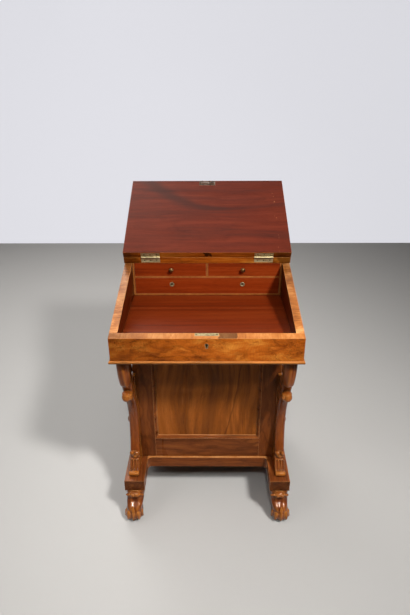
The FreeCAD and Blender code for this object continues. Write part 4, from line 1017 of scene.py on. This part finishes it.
class DAVENPORT_OT_base(bpy.types.Operator):
    """Finish the sledges and carve the front feet"""

    bl_idname = "davenport.base"
    bl_label = "Base and feet"

    # Height, width, front, back and share of the outward splay, in mm
    FOOT = ((13, 50, 3, 47, 1.0), (20, 55, 0, 49, 1.0), (28, 57, -1, 51, 1.0), (38, 54, -0.5, 55, 0.9),
            (44, 50, 0, 59, 0.8), (50, 48.5, 0.5, 63, 0.65), (56, 50, 1.5, 68, 0.54),
            (60, 51.5, 4, 71, 0.48), (64, 53, 8.5, 74, 0.41), (68, 54.5, 14, 78, 0.35),
            (72, 55.5, 19.5, 80, 0.3), (76, 56.5, 23.5, 82, 0.26), (80, 57.5, 26, 83, 0.22),
            (86, 58.5, 27, 85, 0.17), (97, 60, 27, 90, 0.1), (104, 60, 27, 94, 0.0), (111, 60, 31, 98, 0.0))
    SPLAY = 5.5
    # Recess for the caster: radius, depth of its middle, and height of its roof
    RECESS, RECESS_Y, ROOF = 18.5, 20, 23
    # Instep: where its relief starts and over what height, and where it ends
    INSTEP, INSTEP_END = (46, 10), (92, 8)
    # Place, half width and height of its two ridges, and half width and depth of the hollow between them
    RIDGES, HOLLOW = (0.46, 0.2, 2.2), (0.22, 3.6)
    # Knuckles over claws: angle and size of each toe, then reach, height and thickness along one
    TOES = ((-74, 0.78), (-37, 1.1), (0, 0.8), (37, 1.1), (74, 0.78))
    TOE_PATH = ((13, 51, 0.5), (19, 46, 1.15), (24, 38, 1.4), (26, 28, 0.95), (27.5, 20, 0.75),
                (27, 14, 0.3))
    # Depth of the point that they fan out from, and how much wider than deep the fan is
    TOES_Y, TOES_WIDEN = 24, 1.06
    # Tip of a leaf over the middle toe: depth, height and radii across and up
    LEAF_TIP = ((6, 65, 1.0, 1.0), (1.5, 58, 4.6, 3.0), (-1.5, 50, 5.0, 3.8), (-4.5, 42, 1.4, 1.4))
    # Under the sledge a lens-shaped boss holds two beads, sized in bead radii, between two leaves
    BOSS, BOSS_RADII = (25.0, 101.5), (19.0, 10.0, 10.5)
    BEADS, BEAD_RADII = (1.15, 17.5, 102.5), (1.0, 0.8, 0.9)
    LEAVES, LEAF_RADII, LEAF_TURN = (20.0, 24.0, 101.5), (9.5, 5.0, 3.6), 0.12

    def instep(self, side, z):
        """Relief of the instep: two ridges with a hollow between them."""
        (start, rise), (end, fall) = self.INSTEP, self.INSTEP_END
        fade = min(max((z - start) / rise, 0), max((end - z) / fall, 0), 1)
        (place, half, high), (hollow, deep) = self.RIDGES, self.HOLLOW
        return fade * (high * swell(abs(side) - place, half) - deep * swell(side, hollow))

    def foot_ring(self, centre, z, count):
        rows = [tuple((row[0], row[k]) for row in self.FOOT) for k in (1, 2, 3, 4)]
        width, front, back, splay = (through(row, z) for row in rows)
        return oval(centre + self.SPLAY * splay, width / 2, front, back, z, power=3.0, count=count,
                    relief=self.instep)

    def carve(self, shape, carving, centre, way):
        toe, bead = carving.toe / MM, carving.cluster / MM
        count = 72
        low, high = self.FOOT[0][0], self.FOOT[-1][0]
        middle = centre + self.SPLAY
        rings = [[(middle + self.RECESS * math.cos(a), self.RECESS_Y + self.RECESS * math.sin(a), z)
                  for a in circle(count)] for z in (self.ROOF, low)]
        rings += [self.foot_ring(centre, z, count) for z in levels(low, high, step=2)]
        skin(shape, [[(way * x, y, z) for x, y, z in ring] for ring in rings])
        for angle, size in self.TOES:
            a = math.radians(angle)
            path = [(way * middle + r * self.TOES_WIDEN * math.sin(a), self.TOES_Y - r * math.cos(a), z)
                    for r, z, _ in self.TOE_PATH]
            horn(shape, path, [(toe * size * share, toe * size * share) for _, _, share in self.TOE_PATH])
        horn(shape, [(way * middle, y, z) for y, z, _, _ in self.LEAF_TIP],
             [row[2:] for row in self.LEAF_TIP])
        top = way * centre
        ball(shape, (top, *self.BOSS), self.BOSS_RADII)
        for side in (-1, 1):
            x, y, z = self.BEADS
            ball(shape, (top + side * bead * x, y, z), [bead * r for r in self.BEAD_RADII])
            x, y, z = self.LEAVES
            ball(shape, (top + side * x, y, z), self.LEAF_RADII, side * self.LEAF_TURN)

    def execute(self, context):
        paint(context, "Walnut_Moulded_Sledges", "left_sledge", "right_sledge")
        paint(context, "Walnut_Moulded_Plinth", "base_front_rail", "base_rear_rail")
        paint(context, "Walnut_Carved_Polished", "rear_feet")
        carved_pair(context, "Carved_Foot_", "front_{}_foot", "_sledge", self.carve)
        return {"FINISHED"}


class DAVENPORT_OT_brass(bpy.types.Operator):
    """Finish the hinges, lock, knobs and casters, and drive in their screws"""

    bl_idname = "davenport.brass"
    bl_label = "Brass fittings"

    # Distances in metres from the hinges to the middles of the lock and of its plate in the lid
    LOCK, PLATE = 0.3476, 0.3484
    # Half a hinge's length, the lid's thickness, and how far hinge screws lie from the pins, in metres
    HALF_HINGE, THICK, FROM_PINS = 0.0305, 0.022, 0.0113
    # Places of the screws along a hinge, across and along the link plate, and across the lock, in metres
    HINGE_SCREWS, PLATE_SCREWS, LOCK_SCREWS = (-0.02, 0, 0.02), (0.023, 0.0075), 0.028
    # How far each slot is turned from that of the screw before it, in radians
    SLOT_TURN = 0.7
    # Screw head: shares of its radius with heights in mm for its cone and cheeks, half slot, arc points
    CONE = ((0.6, -0.9), (0.85, -0.45), (0.8, -0.4))
    CHEEK = ((0.7, -0.8), (0.94, -0.15), (0.88, -0.06))
    SLOT, ARC = 0.2, 13
    # Countersink: shares of the head's radius at its foot and mouth, then depth and middle in mm
    FOOT, MOUTH, DEEP, MIDDLE = 0.55, 1.11, 1.5, -0.45

    def seat(self, place, normal, turn):
        """A frame on a plate, with Z out of its face."""
        upright = normal.to_track_quat("Z", "Y").to_matrix().to_4x4()
        return Matrix.Translation(place) @ upright @ Matrix.Rotation(turn, 4, "Z")

    def screw(self, shape, local, radius):
        """A countersunk head just under the plate's face: a cone with two half-round cheeks at its slot."""
        gap, last = math.asin(self.SLOT), self.ARC - 1
        for start, end, outline in ((0.0, 2 * math.pi * last / self.ARC, self.CONE),
                                    (gap, math.pi - gap, self.CHEEK),
                                    (math.pi + gap, 2 * math.pi - gap, self.CHEEK)):
            arc = [start + (end - start) * k / last for k in range(self.ARC)]
            rings = [(size * radius, z * MM) for size, z in outline]
            shell(shape, [[local @ Vector((r * math.cos(a), r * math.sin(a), z)) for a in arc]
                          for r, z in rings])

    def drilled(self, context, node, seats, radius):
        """The shape of a CAD plate with a countersink at each seat."""
        plate, cones = bmesh.new(), bmesh.new()
        plate.from_mesh(NODES[node].data)
        bmesh.ops.remove_doubles(plate, verts=plate.verts, dist=0.001 * MM)
        for local in seats:
            place = local @ Matrix.Translation((0, 0, self.MIDDLE * MM))
            bmesh.ops.create_cone(cones, cap_ends=True, segments=24, radius1=self.FOOT * radius,
                                  radius2=self.MOUTH * radius, depth=self.DEEP * MM, matrix=place)
        made = []
        for shape in (plate, cones):
            mesh = bpy.data.meshes.new("Countersinks")
            shape.to_mesh(mesh)
            shape.free()
            made.append(bpy.data.objects.new("Countersinks", mesh))
            context.scene.collection.objects.link(made[-1])
        cut = made[0].modifiers.new("Countersinks", "BOOLEAN")
        cut.object = made[1]
        whole = made[0].evaluated_get(context.evaluated_depsgraph_get())
        shape = bmesh.new()
        shape.from_mesh(whole.to_mesh())
        whole.to_mesh_clear()
        for temporary in made:
            bpy.data.objects.remove(temporary)
        return shape

    def execute(self, context):
        paint(context, "Brass_Stamped_Tarnished", "hinge_pins")
        paint(context, "Brass_Plate_Clouded", "keyhole_escutcheon", "long_drawer_rings")
        paint(context, "Iron_Bolt_Blackened", "lock_bolt")
        paint(context, "Bronze_Turned_Worn", "left_small_knob", "right_small_knob")
        paint(context, "Brass_Cast_Darkened", *[name for name in NODES if "caster" in name])
        radius = context.scene.desk_carving.screw_head
        low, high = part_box("hinge_pins")
        pins = (low + high) / 2
        hinge = high.x - self.HALF_HINGE
        wide, half = self.PLATE_SCREWS
        across = [Vector((side * hinge + x, 0, 0)) for side in (-1, 1) for x in self.HINGE_SCREWS]
        plates = (
            ("hinge_lid_leaves", "lid", "Brass_Stamped_Tarnished",
             [(x + LID_FACE * self.FROM_PINS, -LID_OUT) for x in across]),
            ("link_plate", "lid", "Brass_Sheet_Browned",
             [(Vector((x, 0, 0)) + LID_OUT * (self.PLATE + way * half) + LID_FACE * self.THICK, LID_FACE)
              for x in (-wide, wide) for way in (-1, 1)]),
            ("hinge_fixed_leaves", "desk", "Brass_Stamped_Tarnished",
             [(x - SLOPE_UP * self.FROM_PINS, CLOSED_OUT) for x in across]),
            ("lock_case", "desk", "Brass_Plate_Clouded",
             [(Vector((x, 0, 0)) + CLOSED_OUT * self.LOCK - SLOPE_UP * self.THICK, SLOPE_UP)
              for x in (-self.LOCK_SCREWS, self.LOCK_SCREWS)]))
        for node, body, material, places in plates:
            seats = [self.seat(pins + place, normal, i * self.SLOT_TURN)
                     for i, (place, normal) in enumerate(places)]
            title = node.title()
            plate = self.drilled(context, node, seats, radius)
            piece(context, title, plate, body, material, [node])
            heads = bmesh.new()
            for local in seats:
                self.screw(heads, local, radius)
            piece(context, "Screws_" + title, heads, body, "Brass_Screws_Darkened")
        return {"FINISHED"}


class DAVENPORT_PT_panel(bpy.types.Panel):
    """Lists the desk's operators"""

    bl_idname = "DAVENPORT_PT_panel"
    bl_label = "Davenport desk"
    bl_space_type = "VIEW_3D"
    bl_region_type = "UI"
    bl_category = "Davenport"

    def draw(self, context):
        for kind in OPERATORS:
            self.layout.operator(kind.bl_idname)
        for group in (context.scene.desk_finishes, context.scene.desk_carving):
            column = self.layout.column()
            for key in type(group).__annotations__:
                column.prop(group, key)


OPERATORS = (DAVENPORT_OT_stage, DAVENPORT_OT_writing_box, DAVENPORT_OT_well, DAVENPORT_OT_pedestal,
             DAVENPORT_OT_supports, DAVENPORT_OT_base, DAVENPORT_OT_brass)
CLASSES = (DeskFinishes, DeskCarving) + OPERATORS + (DAVENPORT_PT_panel,)


def register():
    for kind in CLASSES:
        bpy.utils.register_class(kind)
    bpy.types.Scene.desk_finishes = PointerProperty(type=DeskFinishes)
    bpy.types.Scene.desk_carving = PointerProperty(type=DeskCarving)


def unregister():
    del bpy.types.Scene.desk_carving
    del bpy.types.Scene.desk_finishes
    for kind in reversed(CLASSES):
        bpy.utils.unregister_class(kind)


def main():
    register()
    bpy.ops.davenport.stage()
    bpy.ops.davenport.writing_box()
    bpy.ops.davenport.well()
    bpy.ops.davenport.pedestal()
    bpy.ops.davenport.supports()
    bpy.ops.davenport.base()
    bpy.ops.davenport.brass()


if __name__ == "__main__":
    main()
